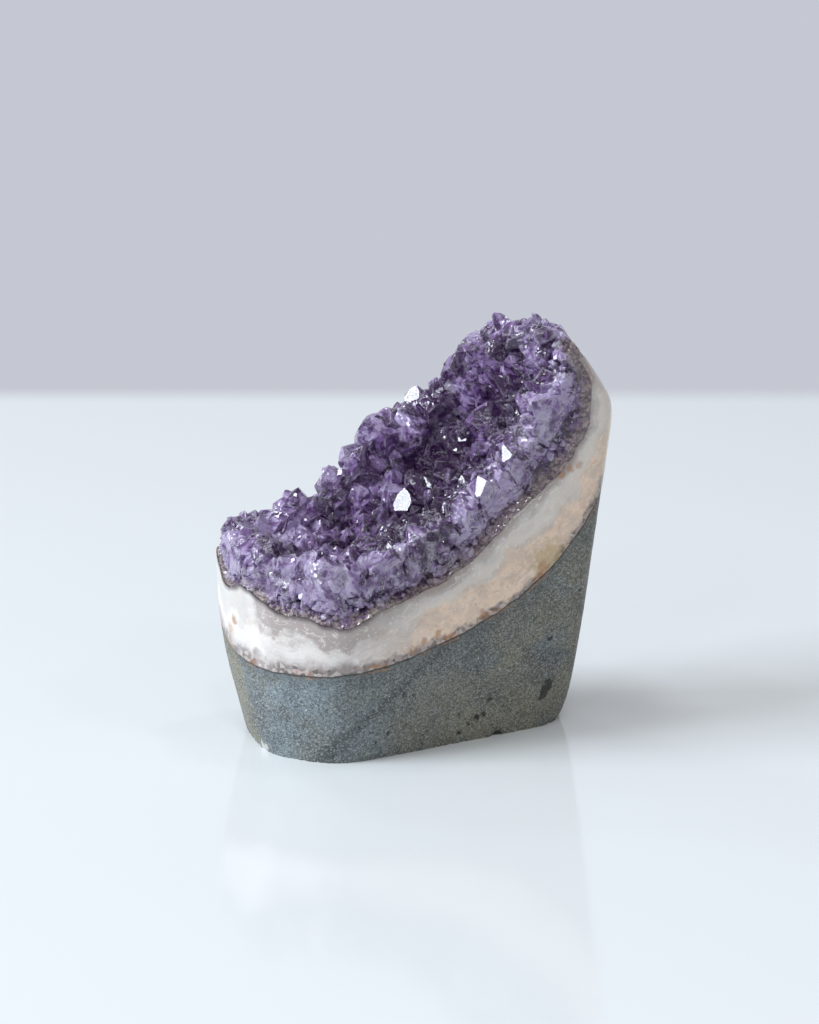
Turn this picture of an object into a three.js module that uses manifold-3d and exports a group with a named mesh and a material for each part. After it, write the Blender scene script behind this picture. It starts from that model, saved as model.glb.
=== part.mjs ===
/**
 * Amethyst freeform: a piece of geode wall, ground smooth all round and cut flat below, so that it
 * stands with its hollow of crystals facing up and to the front left.
 *
 * Three layers follow the wall of the geode, each about the same distance from the middle of the
 * hollow: grey basalt outside, a band of pale agate, and a thick crust of amethyst whose points all
 * grow in towards the middle of the hollow. Every layer is its own closed solid.
 *
 * Millimetres, +Z up, +X right, +Y away from the front. The origin is in the flat base, below the
 * middle of the stone.
 */
import * as THREE from 'three';
import { mergeVertices } from 'three/addons/utils/BufferGeometryUtils.js';
import { ConvexGeometry } from 'three/addons/geometries/ConvexGeometry.js';
import Module from 'manifold-3d';

const wasm = await Module();
wasm.setup();

// Driving dimensions, in millimetres and degrees.

// A point well inside the stone, from which every ground face can be seen.
const MIDDLE = new THREE.Vector3(2, -1, 42);

// The ground faces: the way each one faces (0 is right, 90 is away from the front), how far it
// leans out as it rises, and how far from the Z axis it meets the base.
const GROUND_FACES = [
  { faces: -163, lean: 14, reach: 33.8 },
  { faces: -166, lean: -1, reach: 39.6 },
  { faces: -138, lean: 6, reach: 33.2 },
  { faces: -115, lean: 3, reach: 29.8 },
  { faces: -90, lean: 5, reach: 25.4 },
  { faces: -60, lean: 7, reach: 16.8 },
  { faces: -30, lean: 16, reach: 30.0 },
  { faces: -8, lean: 44, reach: 37.2 },
  { faces: -8, lean: 21, reach: 39.0 },
  { faces: -4, lean: 3.4, reach: 42.3 },
  { faces: 5, lean: -34, reach: 97.0 },
  { faces: 40, lean: -42, reach: 109.0 },
  { faces: 100, lean: -50, reach: 122.0 },
  { faces: 48, lean: 8, reach: 31.0 },
  { faces: 90, lean: 4, reach: 20.5 },
  { faces: 120, lean: 7, reach: 16.5 },
];
// How tightly the polished edges between the faces turn: higher is sharper.
const EDGE_SHARPNESS = 0.6;
// The rough lump goes this far below the saw cut that makes the base.
const BELOW_THE_CUT = 8;

// The middle of the geode's hollow, and the distance from there to the back of each layer.
const HOLLOW = new THREE.Vector3(-20, -17, 97.6);
const BASALT_FROM = 78.6;
const AGATE_FROM = 66.5;
const DISH = 58.0;
// The layers lie this far apart.
const GAP = 0.3;

// Swells and hollows of each layer: where its middle lies seen from the middle of the hollow
// (bearing as for the faces, dip below level), how far the layer moves outwards there, and how wide
// the swell is, in degrees.
const BASALT_SWELLS = [
  { bearing: 19, dip: 50, out: 2.2, wide: 11 },
  { bearing: 137, dip: 69, out: -3.2, wide: 6.5 },
];
const AGATE_SWELLS = [
  { bearing: 140, dip: 70, out: -4.2, wide: 6.5 },
  { bearing: -176, dip: 80, out: -2.0, wide: 4.5 },
  { bearing: -48, dip: 79, out: 2.4, wide: 3.4 },
  { bearing: -84, dip: 83, out: -1.0, wide: 4 },
  { bearing: -7, dip: 68, out: -1.8, wide: 7 },
  { bearing: 7, dip: 44, out: 1.6, wide: 7 },
  { bearing: 20, dip: 26, out: 2.2, wide: 8 },
];
const DISH_SWELLS = [
  { bearing: 95, dip: 60, out: 1.4, wide: 9 },
  { bearing: 140, dip: 68, out: -1.8, wide: 7 },
  { bearing: 46, dip: 44, out: 3.4, wide: 7 },
  { bearing: 70, dip: 71, out: 2.0, wide: 6 },
  { bearing: 66, dip: 41, out: -3.0, wide: 6 },
  { bearing: 10, dip: 62, out: -1.6, wide: 6 },
  { bearing: 34, dip: 10, out: -2.2, wide: 10 },
];

// Near the ground wall the crystals are polished away: their height there, and how fast it grows
// with the distance from the wall.
const RIM_HEIGHT = 3.0;
const RIM_RISE = 1.6;

// The crystals that stand out: where they root in the dish, their width across the flats, how far
// they stand proud of the dish, and how far they lean from straight in, and which way.
const MAIN_CRYSTALS = [
  { bearing: 122, dip: 67, width: 10.5, proud: 6.5, lean: 8, towards: 200 },
  { bearing: 96, dip: 63, width: 9.5, proud: 8.0, lean: 10, towards: 60 },
  { bearing: -158, dip: 84, width: 8.0, proud: 4.6, lean: 22, towards: -110 },
  { bearing: -60, dip: 80, width: 11.0, proud: 6.0, lean: 18, towards: -100 },
  { bearing: 85, dip: 77, width: 8.0, proud: 5.4, lean: 12, towards: 20 },
  { bearing: 66, dip: 43, width: 11.0, proud: 8.6, lean: 12, towards: 170 },
  { bearing: 58, dip: 40, width: 9.5, proud: 8.0, lean: 14, towards: 80 },
  { bearing: 74, dip: 48, width: 8.0, proud: 6.2, lean: 16, towards: 190 },
  { bearing: 47, dip: 58, width: 8.0, proud: 6.2, lean: 20, towards: 240 },
  { bearing: 80, dip: 55, width: 7.5, proud: 6.6, lean: 14, towards: 100 },
  { bearing: 54, dip: 35, width: 7.5, proud: 6.0, lean: 15, towards: 150 },
  { bearing: 40, dip: 36, width: 7.0, proud: 5.0, lean: 20, towards: 260 },
  { bearing: 45, dip: 27, width: 8.0, proud: 6.5, lean: 10, towards: 120 },
  { bearing: 36, dip: 17, width: 8.5, proud: 7.0, lean: 12, towards: 120 },
  { bearing: 26, dip: 13, width: 8.5, proud: 6.0, lean: 12, towards: 80 },
  { bearing: 11, dip: 47, width: 7.0, proud: 5.0, lean: 16, towards: -60 },
  { bearing: 18, dip: 38, width: 7.0, proud: 5.0, lean: 14, towards: 220 },
  { bearing: 8, dip: 25, width: 10.0, proud: 5.0, lean: 16, towards: -60 },
  { bearing: 7, dip: 69, width: 9.0, proud: 5.6, lean: 14, towards: -90 },
  { bearing: 17, dip: 57, width: 8.0, proud: 5.2, lean: 15, towards: -70 },
];

// The crystals between them: how many there would be over the whole lower half of the geode, and
// the range of their widths, of their heights as a share of the width, and of their lean.
const FIELD_CRYSTALS = 350;
const FIELD_WIDTH = [6.2, 10.0];
const FIELD_PROUD = [0.4, 0.7];
const FIELD_LEAN = 26;
// A crystal reaches this far down into the crust, and this far past the wall it may be rooted.
const ROOT_DEPTH = 3.6;
const PAST_THE_WALL = 1.5;

// Quartz: the faces of the point stand at this angle to the crystal's length, and three of the six
// are set back, so that the other three are the larger.
const POINT_ANGLE = 38.2;
const SET_BACK = [0.04, 0.22];

// How finely each surface is stepped: around, and from top to bottom.
const WALL_STEPS = [48, 25];
const BASALT_STEPS = [36, 26];
const AGATE_STEPS = [38, 30];
const DISH_STEPS = [28, 22];

// A repeatable number from 0 to 1.
function draw(index, kind) {
  const value = Math.sin(index * 12.9898 + kind * 78.233) * 43758.5453;
  return value - Math.floor(value);
}

function between(range, share) {
  return range[0] + (range[1] - range[0]) * share;
}

// The direction with a bearing and a dip below level.
function direction(bearing, dip) {
  const turn = THREE.MathUtils.degToRad(bearing);
  const down = THREE.MathUtils.degToRad(dip);
  return new THREE.Vector3(
    Math.cos(down) * Math.cos(turn),
    Math.cos(down) * Math.sin(turn),
    -Math.sin(down),
  );
}

// Each ground face as a plane, and the underside of the rough lump.
const PLANES = GROUND_FACES.map(({ faces, lean, reach }) => ({
  normal: direction(faces, lean),
  offset: reach * Math.cos(THREE.MathUtils.degToRad(lean)),
}));
PLANES.push({ normal: new THREE.Vector3(0, 0, -1), offset: BELOW_THE_CUT });

// The largest of some distances, with the turns between them rounded.
function softLargest(distances) {
  const largest = Math.max(...distances);
  const sum = distances.reduce((total, d) => total + Math.exp((d - largest) * EDGE_SHARPNESS), 0);
  return largest + Math.log(sum) / EDGE_SHARPNESS;
}

// How far a layer's surface is from the middle of the hollow, along a direction.
function layerRadius(radius, swells, towards) {
  return swells.reduce((total, { bearing, dip, out, wide }) => {
    const away = towards.distanceTo(direction(bearing, dip));
    const spread = THREE.MathUtils.degToRad(wide);
    return total + out * Math.exp(-(away * away) / (2 * spread * spread));
  }, radius);
}

// How far outside the ground wall a point is; less than nothing inside.
function outsideWall(point) {
  return softLargest(PLANES.map(({ normal, offset }) => point.dot(normal) - offset));
}

// How far outside the whole polished shape a point is: the wall, rolled over at the dish's rim.
function outsideStone(point) {
  const wall = outsideWall(point);
  const height = DISH - point.distanceTo(HOLLOW);
  return softLargest([wall, height - RIM_HEIGHT + RIM_RISE * wall]);
}

// A round form about a centre, each of its points moved out to the distance that a rule gives.
function roundForm(centre, [around, down], distance) {
  const geometry = new THREE.SphereGeometry(1, around, down).rotateX(Math.PI / 2);
  geometry.deleteAttribute('normal');
  geometry.deleteAttribute('uv');
  const form = mergeVertices(geometry, 1e-4);
  const place = form.attributes.position;
  const towards = new THREE.Vector3();
  for (let i = 0; i < place.count; i += 1) {
    towards.fromBufferAttribute(place, i).normalize();
    const point = towards.clone().multiplyScalar(distance(towards)).add(centre);
    place.setXYZ(i, point.x, point.y, point.z);
  }
  return form;
}

// The distance from the middle of the stone to its polished surface, along a direction.
function reachOfStone(towards) {
  let inside = 0;
  let outside = 160;
  for (let step = 0; step < 40; step += 1) {
    const half = (inside + outside) / 2;
    const point = towards.clone().multiplyScalar(half).add(MIDDLE);
    if (outsideStone(point) < 0) {
      inside = half;
    } else {
      outside = half;
    }
  }
  return inside;
}

function toSolid(geometry) {
  return new wasm.Manifold(new wasm.Mesh({
    numProp: 3,
    vertProperties: new Float32Array(geometry.attributes.position.array),
    triVerts: new Uint32Array(geometry.index.array),
  }));
}

function toGeometry(solid) {
  const mesh = solid.getMesh();
  const geometry = new THREE.BufferGeometry();
  geometry.setAttribute('position', new THREE.BufferAttribute(mesh.vertProperties, 3));
  geometry.setIndex(new THREE.BufferAttribute(mesh.triVerts, 1));
  geometry.computeVertexNormals();
  return geometry;
}

// The polished lump with its flat base.
function stoneSolid() {
  const lump = toSolid(roundForm(MIDDLE, WALL_STEPS, reachOfStone));
  const block = new THREE.BoxGeometry(200, 200, 40).translate(0, 0, -20);
  block.deleteAttribute('normal');
  block.deleteAttribute('uv');
  return lump.subtract(toSolid(mergeVertices(block)));
}

// All that lies nearer to the middle of the hollow than a layer's surface.
function hollowSolid(radius, swells, steps, more = 0) {
  return toSolid(roundForm(HOLLOW, steps, (to) => layerRadius(radius, swells, to) + more));
}

// The corners where three of some planes meet, and no other plane cuts them off.
function cornersOf(planes) {
  const corners = [];
  const matrix = new THREE.Matrix3();
  for (let a = 0; a < planes.length; a += 1) {
    for (let b = a + 1; b < planes.length; b += 1) {
      for (let c = b + 1; c < planes.length; c += 1) {
        const rows = [planes[a], planes[b], planes[c]];
        const [p, q, r] = rows.map((plane) => plane.normal);
        matrix.set(p.x, p.y, p.z, q.x, q.y, q.z, r.x, r.y, r.z);
        if (Math.abs(matrix.determinant()) > 1e-6) {
          const corner = new THREE.Vector3(...rows.map((plane) => plane.offset));
          corner.applyMatrix3(matrix.invert());
          if (planes.every((plane) => corner.dot(plane.normal) < plane.offset + 1e-6)) {
            corners.push(corner);
          }
        }
      }
    }
  }
  return corners;
}

// One quartz crystal along +Z, its root at z = -ROOT_DEPTH and the dish at z = 0: a six-sided prism
// with a six-sided point.
function crystalGeometry(width, proud, seed) {
  const planes = [{ normal: new THREE.Vector3(0, 0, -1), offset: ROOT_DEPTH }];
  const slope = THREE.MathUtils.degToRad(POINT_ANGLE);
  for (let side = 0; side < 6; side += 1) {
    const turn = (side * Math.PI) / 3;
    const out = new THREE.Vector3(Math.cos(turn), Math.sin(turn), 0);
    const half = (width / 2) * (0.88 + 0.24 * draw(seed, side));
    planes.push({ normal: out, offset: half });
    const setBack = side % 2 === 0 ? 0 : between(SET_BACK, draw(seed, side + 6));
    const normal = out.clone().multiplyScalar(Math.cos(slope));
    normal.z = Math.sin(slope);
    planes.push({ normal, offset: (proud + setBack * width) * Math.sin(slope) });
  }
  const hull = new ConvexGeometry(cornersOf(planes));
  hull.deleteAttribute('normal');
  return mergeVertices(hull, 1e-4);
}

// Stands a crystal on the dish: rooted along a direction from the hollow's middle, and growing
// back towards that middle with a lean.
function standCrystal({ towards, width, proud, lean, leanTo, turn, seed }) {
  const inwards = towards.clone().negate();
  const side = inwards.clone().cross(direction(leanTo, 0)).normalize();
  const axis = inwards.clone().applyAxisAngle(side, THREE.MathUtils.degToRad(lean));
  const upright = new THREE.Quaternion().setFromUnitVectors(new THREE.Vector3(0, 0, 1), axis);
  const spin = new THREE.Quaternion().setFromAxisAngle(new THREE.Vector3(0, 0, 1), turn);
  const root = towards.clone().multiplyScalar(layerRadius(DISH, DISH_SWELLS, towards)).add(HOLLOW);
  const place = new THREE.Matrix4().compose(
    root,
    upright.multiply(spin),
    new THREE.Vector3(1, 1, 1),
  );
  return crystalGeometry(width, proud, seed).applyMatrix4(place);
}

function mainCrystals() {
  return MAIN_CRYSTALS.map(({ bearing, dip, width, proud, lean, towards }, i) => ({
    towards: direction(bearing, dip),
    width,
    proud,
    lean,
    leanTo: towards,
    turn: draw(i, 20) * Math.PI,
    seed: i,
  }));
}

// The crystals that fill the dish between the main ones, spread evenly over the geode's wall.
function fieldCrystals(main) {
  const golden = Math.PI * (3 - Math.sqrt(5));
  const crystals = [];
  for (let i = 0; i < FIELD_CRYSTALS; i += 1) {
    const seed = 100 + i;
    const down = (i + draw(seed, 1)) / FIELD_CRYSTALS;
    const flat = Math.sqrt(1 - down * down);
    const turn = i * golden + 0.06 * (draw(seed, 2) - 0.5);
    const towards = new THREE.Vector3(flat * Math.cos(turn), flat * Math.sin(turn), -down);
    const radius = layerRadius(DISH, DISH_SWELLS, towards);
    const root = towards.clone().multiplyScalar(radius).add(HOLLOW);
    const width = between(FIELD_WIDTH, draw(seed, 3) ** 1.6);
    const clear = main.every((big) => big.towards.distanceTo(towards) * DISH > big.width * 0.55);
    if (clear && outsideWall(root) < PAST_THE_WALL && root.z > 0) {
      crystals.push({
        towards,
        width,
        proud: width * between(FIELD_PROUD, draw(seed, 4)),
        lean: FIELD_LEAN * draw(seed, 5),
        leanTo: 360 * draw(seed, 6),
        turn: draw(seed, 7) * Math.PI,
        seed,
      });
    }
  }
  return crystals;
}

function basaltSolid(stone) {
  return stone.subtract(hollowSolid(BASALT_FROM, BASALT_SWELLS, BASALT_STEPS, GAP));
}

function agateSolid(stone) {
  return stone
    .intersect(hollowSolid(BASALT_FROM, BASALT_SWELLS, BASALT_STEPS))
    .subtract(hollowSolid(AGATE_FROM, AGATE_SWELLS, AGATE_STEPS, GAP));
}

// The crust: the last layer with every crystal joined to it, ground off flush with the wall.
function amethystSolid(stone) {
  const main = mainCrystals();
  let crust = stone
    .intersect(hollowSolid(AGATE_FROM, AGATE_SWELLS, AGATE_STEPS))
    .subtract(hollowSolid(DISH, DISH_SWELLS, DISH_STEPS));
  let points = null;
  for (const crystal of [...main, ...fieldCrystals(main)]) {
    const point = toSolid(standCrystal(crystal));
    points = points ? points.add(point) : point;
  }
  crust = crust.add(points.intersect(stone));
  return crust;
}

function layer(name, solid, look) {
  const mesh = new THREE.Mesh(toGeometry(solid), new THREE.MeshStandardMaterial(look));
  mesh.name = name;
  return mesh;
}

function amethystFreeform() {
  const stone = stoneSolid();
  const group = new THREE.Group();
  group.name = 'amethyst_freeform';
  group.add(layer('basalt_base', basaltSolid(stone), {
    color: 0x6f7a80,
    roughness: 0.62,
    metalness: 0,
  }));
  group.add(layer('agate_band', agateSolid(stone), {
    color: 0xd9c7b8,
    roughness: 0.25,
    metalness: 0,
  }));
  group.add(layer('amethyst_crystals', amethystSolid(stone), {
    color: 0x6d5590,
    roughness: 0.15,
    metalness: 0,
  }));
  return group;
}

export default amethystFreeform();
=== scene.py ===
"""Amethyst freeform: a ground and polished piece of geode wall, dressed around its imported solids.

Run as a script, it adds the basalt foot, the agate band and the crust of amethyst, each in the place
of the solid that carries it, and then the stage. Everything is in metres, +Z up, +X right and +Y away
from the front, and the origin is in the stone's flat base.
"""
import math

import bmesh
import bpy
import numpy as np
from bpy.props import FloatProperty, FloatVectorProperty, PointerProperty
from mathutils import Euler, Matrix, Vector, noise


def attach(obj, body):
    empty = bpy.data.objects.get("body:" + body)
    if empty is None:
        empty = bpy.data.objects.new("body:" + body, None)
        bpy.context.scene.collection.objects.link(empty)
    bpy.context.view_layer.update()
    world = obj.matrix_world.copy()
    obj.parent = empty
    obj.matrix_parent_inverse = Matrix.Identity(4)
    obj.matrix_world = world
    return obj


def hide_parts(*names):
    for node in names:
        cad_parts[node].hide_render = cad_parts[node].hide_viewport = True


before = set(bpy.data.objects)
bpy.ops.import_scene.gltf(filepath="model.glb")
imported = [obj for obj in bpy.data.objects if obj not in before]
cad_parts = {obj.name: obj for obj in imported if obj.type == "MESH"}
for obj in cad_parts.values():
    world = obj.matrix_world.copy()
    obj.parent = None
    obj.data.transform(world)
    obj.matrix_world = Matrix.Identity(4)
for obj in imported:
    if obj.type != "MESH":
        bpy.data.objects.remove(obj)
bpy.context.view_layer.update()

bl_info = {
    "name": "Amethyst Freeform",
    "version": (1, 0, 0),
    "blender": (4, 5, 0),
    "location": "3D View > Sidebar > Stone",
    "description": "Adds a polished piece of geode wall with its crust of amethyst",
    "category": "Add Mesh",
}

MM = 0.001

# The turn from one crystal to the next that spreads them evenly.
GOLDEN_TURN = math.pi * (3 - math.sqrt(5))

# A point well inside the stone, from which every ground face can be seen, and how far out from it
# the search for the wall and for the whole stone's surface starts.
MIDDLE = np.array((2.0, -1.0, 42.0)) * MM
BEYOND_WALL = 120 * MM
BEYOND_STONE = 160 * MM

# The ground faces: the way each one faces (0 is right, 90 is away from the front), how far it leans
# out as it rises, both in degrees, and how far from the Z axis it meets the base, in millimetres.
GROUND_FACES = (
    (-163, 14, 32.7),
    (-166, -1, 39.1),
    (-138, 6, 33.2),
    (-115, 3, 29.8),
    (-90, 5, 25.4),
    (-60, 7, 16.8),
    (-30, 16, 30.0),
    (-8, 44, 35.6),
    (-8, 24, 36.4),
    (-4, 6.8, 37.5),
    (5, -34, 95.4),
    (40, -42, 109.0),
    (100, -50, 122.0),
    (48, 8, 31.0),
    (90, 4, 20.5),
    (120, 7, 16.5),
)
BELOW_THE_CUT = 8.0 * MM

# The middle of the geode's hollow. The layers of the wall lie round it like shells.
HOLLOW = np.array((-20.0, -17.0, 97.6)) * MM

# Swells of each layer: bearing and dip below level of its middle, seen from the middle of the
# hollow, how far the layer moves outwards there in millimetres, and how wide it is in degrees.
BASALT_SWELLS = (
    (19, 50, 2.2, 11),
    (137, 69, -3.2, 6.5),
)
AGATE_SWELLS = (
    (140, 66, -3.4, 6.5),
    (-170, 78, -4.6, 4.2),
    (-48, 79, 2.4, 3.4),
    (-84, 83, -1.0, 4),
    (-7, 68, -0.6, 7),
    (5, 48, -1.6, 6),
    (12, 28, 1.4, 6),
    (6, 9, -9.0, 5.5),
)
DISH_SWELLS = (
    (95, 60, 1.4, 9),
    (140, 68, 0.5, 7),
    (46, 44, 3.4, 7),
    (70, 71, 2.0, 6),
    (66, 41, -3.0, 6),
    (10, 62, -1.6, 6),
    (34, 10, -2.2, 10),
)

# The crystals that stand out: bearing and dip of the root, width across the flats and height above
# the dish in millimetres, lean in degrees, and the bearing that the crystal leans towards.
MAIN_CRYSTALS = (
    (122, 67, 10.5, 4.0, 8, 200),
    (96, 63, 9.5, 8.0, 10, 60),
    (-158, 84, 8.0, 4.6, 22, -110),
    (-60, 80, 11.0, 6.0, 18, -100),
    (85, 77, 8.0, 5.4, 12, 20),
    (66, 43, 11.0, 8.6, 12, 170),
    (58, 40, 9.5, 8.0, 14, 80),
    (74, 48, 8.0, 6.2, 16, 190),
    (47, 58, 8.0, 6.2, 20, 240),
    (80, 55, 7.5, 6.6, 14, 100),
    (54, 35, 7.5, 6.0, 15, 150),
    (40, 36, 7.0, 5.0, 20, 260),
    (45, 27, 8.0, 6.5, 10, 120),
    (37.6, 18.8, 9.4, 7.0, 13, 118),
    (26.3, 13.2, 8.5, 4.7, 11, 82),
    (11, 47, 7.0, 5.0, 16, -60),
    (18, 38, 7.0, 5.0, 14, 220),
    (8, 25, 10.0, 5.0, 16, -60),
    (7, 69, 9.0, 5.6, 14, -90),
    (17, 57, 8.0, 5.2, 15, -70),
)

# The crystals between them, in sizes from coarse to fine: how many there would be over the whole
# lower half of the geode, least and most width in millimetres, least and most height as a share of
# the width, most lean in degrees, how far past the wall they may root, and where their draws start.
FIELD_CRYSTALS = (
    (350, 6.2, 10.0, 0.40, 0.70, 26, -4.0, 100),
    (1400, 2.8, 5.6, 0.50, 1.00, 34, -1.8, 1000),
    (5180, 1.3, 3.0, 0.60, 1.30, 42, -0.8, 4000),
)

# How far the faces of a point are set back, as a share of the crystal's width: least and most on
# every other face of the coarse ones, and most on the small ones.
SET_BACK = (0.04, 0.22)
SMALL_SET_BACK = 0.38

# Where the draws of the other kinds of crystal start. Those of the main crystals start at 0, and
# those of all the small ones at SMALL_FROM or above.
BRIGHT_FROM = 50
SIDE_FROM = 60
SMALL_FROM = 1000
PERCHED_FROM = 20000

# How many small crystals grow on each large one, and their least and most width in millimetres.
PERCHED = 3
PERCHED_WIDTH = (1.4, 3.6)

# Crystals that turn one face to the window: bearing and dip of the root, width and height above the
# dish in millimetres.
BRIGHT_CRYSTALS = (
    (58, 36.2, 5.2, 8.5),
    (52.5, 38.8, 2.6, 5.5),
    (39.8, 39.5, 3.4, 5.0),
    (76.8, 55.8, 6.4, 6.0),
    (37.2, 60.2, 6.4, 7.0),
    (4, 47, 5.0, 5.5),
    (6.5, 38.5, 4.4, 5.5),
    (13.8, 11.5, 5.6, 4.6),
)
BRIGHT_WAY = (233.5, -25.5)

# The large crystals on the broken side of the crust: a place on the ground wall and a width, in
# millimetres, and the bearing and dip of the way they grow.
SIDE_MAIN = (
    (-34.0, -17.0, 43.0, 8.0, -155, -5),
    (-29.5, -20.5, 44.0, 6.5, -125, -15),
    (-23.8, -23.9, 41.0, 6.6, -100, -12),
    (-18.5, -25.5, 43.5, 5.5, -95, -25),
    (-13.3, -27.5, 38.2, 10.0, -96, -12),
    (-5.0, -27.0, 38.0, 6.0, -80, -10),
    (4.0, -25.0, 43.0, 6.5, -80, -15),
    (12.0, -21.5, 45.5, 6.0, -75, -10),
    (17.0, -18.5, 51.5, 7.5, -80, -15),
    (25.0, -15.0, 59.0, 6.5, -80, -15),
    (34.0, -10.4, 73.1, 6.0, -65, -12),
    (30.5, -12.0, 66.5, 5.5, -75, 5),
    (-36.5, -6.0, 43.0, 8.0, 180, -5),
    (-30.0, 10.0, 44.0, 8.0, 150, -5),
    (-14.0, 19.0, 48.0, 8.0, 110, -5),
    (4.0, 22.0, 58.0, 8.0, 95, -5),
    (20.0, 22.0, 70.0, 8.0, 80, -5),
)

# The crystals between those, in sizes from coarse to fine: how many are tried over the whole wall,
# least and most width in millimetres, and where their draws start.
SIDE_CRYSTALS = (
    (520, 4.0, 7.0, 40000),
    (1800, 2.2, 4.0, 44000),
    (9500, 0.9, 2.0, 50000),
)

# The broken side of the crust: how high above the base its crystals are tried, the size and the
# depth of its rounded lumps, the size of the facets on them, and how high above the foot of the
# points its crystals are taken to end where the finish paints the higher ones paler, as painted
# light on the higher points and painted shade low between them.
SIDE_HEIGHT = 92 * MM
LUMP = 7.5 * MM
LUMP_DEPTH = 4.6 * MM
FACET = 2.6 * MM
SIDE_CLIMB = 2.6 * MM

# Pits in the basalt, and chips in the edge of the agate: the middle of each on the wall, its radius
# and its depth, in millimetres.
MAIN_PITS = (
    (17.1, -10.3, 5.2, 0.8, 0.7),
    (18.6, -9.6, 5.6, 0.7, 0.6),
    (13.2, -12.7, 6.5, 0.5, 0.5),
    (13.2, -12.1, 2.2, 0.7, 0.6),
    (15.4, -11.2, 4.0, 0.5, 0.5),
    (21.6, -6.9, 0.2, 1.1, 0.9),
    (33.3, -1.8, 10.4, 0.9, 0.8),
    (32.7, -1.8, 9.2, 1.1, 1.0),
    (32.0, -2.0, 7.9, 1.0, 0.9),
    (31.3, -2.2, 6.9, 0.7, 0.6),
    (30.5, -3.2, 21.0, 0.7, 0.6),
    (-2.0, -22.0, 5.5, 0.6, 0.5),
    (-4.5, -22.5, 3.8, 0.6, 0.5),
    (3.5, -18.5, 13.5, 0.5, 0.4),
    (-13.5, -24.0, 12.0, 0.5, 0.4),
    (-23.0, -21.5, 14.0, 0.5, 0.4),
)
AGATE_CHIPS = (
    (-31.0, -20.2, 22.4, 1.4, 0.5),
    (-8.8, -25.6, 22.4, 1.0, 0.4),
    (-5.0, -24.9, 23.0, 0.9, 0.4),
)
SMALL_PITS = 150

# Rust spots in the agate: the middle of each, its radius in millimetres, and its strength.
RUST_SPOTS = (
    ((-34.5, -14.1, 28.5), 1.6, 0.75),
    ((-35.5, -12.0, 26.0), 2.2, 0.5),
    ((3.0, -20.0, 24.2), 1.6, 0.8),
    ((5.5, -19.5, 25.6), 1.1, 0.6),
    ((8.5, -18.2, 26.5), 1.3, 0.6),
    ((18.0, -13.0, 29.5), 1.4, 0.5),
    ((31.0, -7.0, 38.5), 1.6, 0.5),
    ((36.6, -6.8, 59.9), 1.6, 0.6),
    ((34.6, -7.8, 58.6), 1.4, 0.6),
    ((38.6, -5.8, 60.4), 1.2, 0.5),
    ((-31.6, -20.0, 29.5), 2.4, 0.25),
)

# How finely the polished wall is stepped, round the stone and up it.
WALL_COLUMNS = 560
WALL_STEP = 0.42 * MM

# Where the ground end of the crust is polished smooth, in metres along +X.
SMOOTH_END = (40 * MM, 44 * MM)

# Where the amethyst is darker or paler than its depth and its crystals make it, partly its own tone and
# partly painted shade in the deep valley and painted light towards the rims: the middle and the
# radius of each zone in millimetres, and by how much.
TONE_AND_SHADE_ZONES = (
    ((9.0, 11.0, 58.0), 13.0, 0.7),
    ((22.0, 5.0, 70.0), 10.0, 0.55),
    ((4.7, -12.0, 48.0), 13.0, 0.9),
    ((-10.0, -3.0, 44.0), 8.0, 0.3),
    ((16.0, -4.0, 56.0), 8.0, 0.4),
    ((-0.7, 18.0, 62.4), 10.0, -0.25),
    ((-21.7, -1.2, 47.0), 10.0, -0.6),
    ((-35.0, -8.0, 44.8), 12.0, -0.15),
    ((-14.0, -26.0, 38.0), 10.0, -0.15),
    ((19.0, -16.0, 54.0), 12.0, -0.35),
    ((34.0, -10.0, 75.0), 9.0, -0.25),
)


class StoneForm(bpy.types.PropertyGroup):
    """The sizes of the ground stone and its layers."""

    edge_sharpness: FloatProperty(
        name="Edge sharpness", description="How tightly the polished edges turn, for each metre",
        default=0.85 / MM
    )
    basalt_from: FloatProperty(
        name="Basalt from", description="Distance from the middle of the hollow to the basalt",
        default=78.6 * MM, unit="LENGTH"
    )
    agate_from: FloatProperty(
        name="Agate from", description="Distance from the middle of the hollow to the agate",
        default=66.5 * MM, unit="LENGTH"
    )
    dish: FloatProperty(
        name="Dish",
        description="Distance from the middle of the hollow to the foot of the crystal points",
        default=58.0 * MM, unit="LENGTH"
    )
    seam: FloatProperty(
        name="Seam", description="How far apart the layers lie", default=0.03 * MM, unit="LENGTH"
    )
    rim_height: FloatProperty(
        name="Rim height", description="Height that the polishing leaves of the crystals at the wall",
        default=3.0 * MM, unit="LENGTH"
    )
    rim_rise: FloatProperty(
        name="Rim rise", description="How fast that height grows with the distance from the wall",
        default=1.6
    )
    ripple: FloatProperty(
        name="Ripple", description="How far the seams between the layers wander", default=0.35 * MM,
        unit="LENGTH"
    )
    chip: FloatProperty(
        name="Chips", description="Depth of the chips along the saw-cut edge", default=0.7 * MM,
        unit="LENGTH"
    )


class CrystalHabit(bpy.types.PropertyGroup):
    """How the quartz crystals grow."""

    point_angle: FloatProperty(
        name="Point angle", description="Angle between the faces of the point and the crystal's length",
        default=math.radians(38.2), subtype="ANGLE"
    )
    root_depth: FloatProperty(
        name="Root depth", description="How far each crystal reaches down into the crust",
        default=3.6 * MM, unit="LENGTH"
    )
    absorption: FloatProperty(
        name="Absorption", description="How quickly the clear quartz takes up light, for each metre",
        default=100.0
    )
    clearness: FloatProperty(
        name="Clearness", description="Share of the light that goes on into the quartz", default=0.4,
        subtype="FACTOR"
    )


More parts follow.
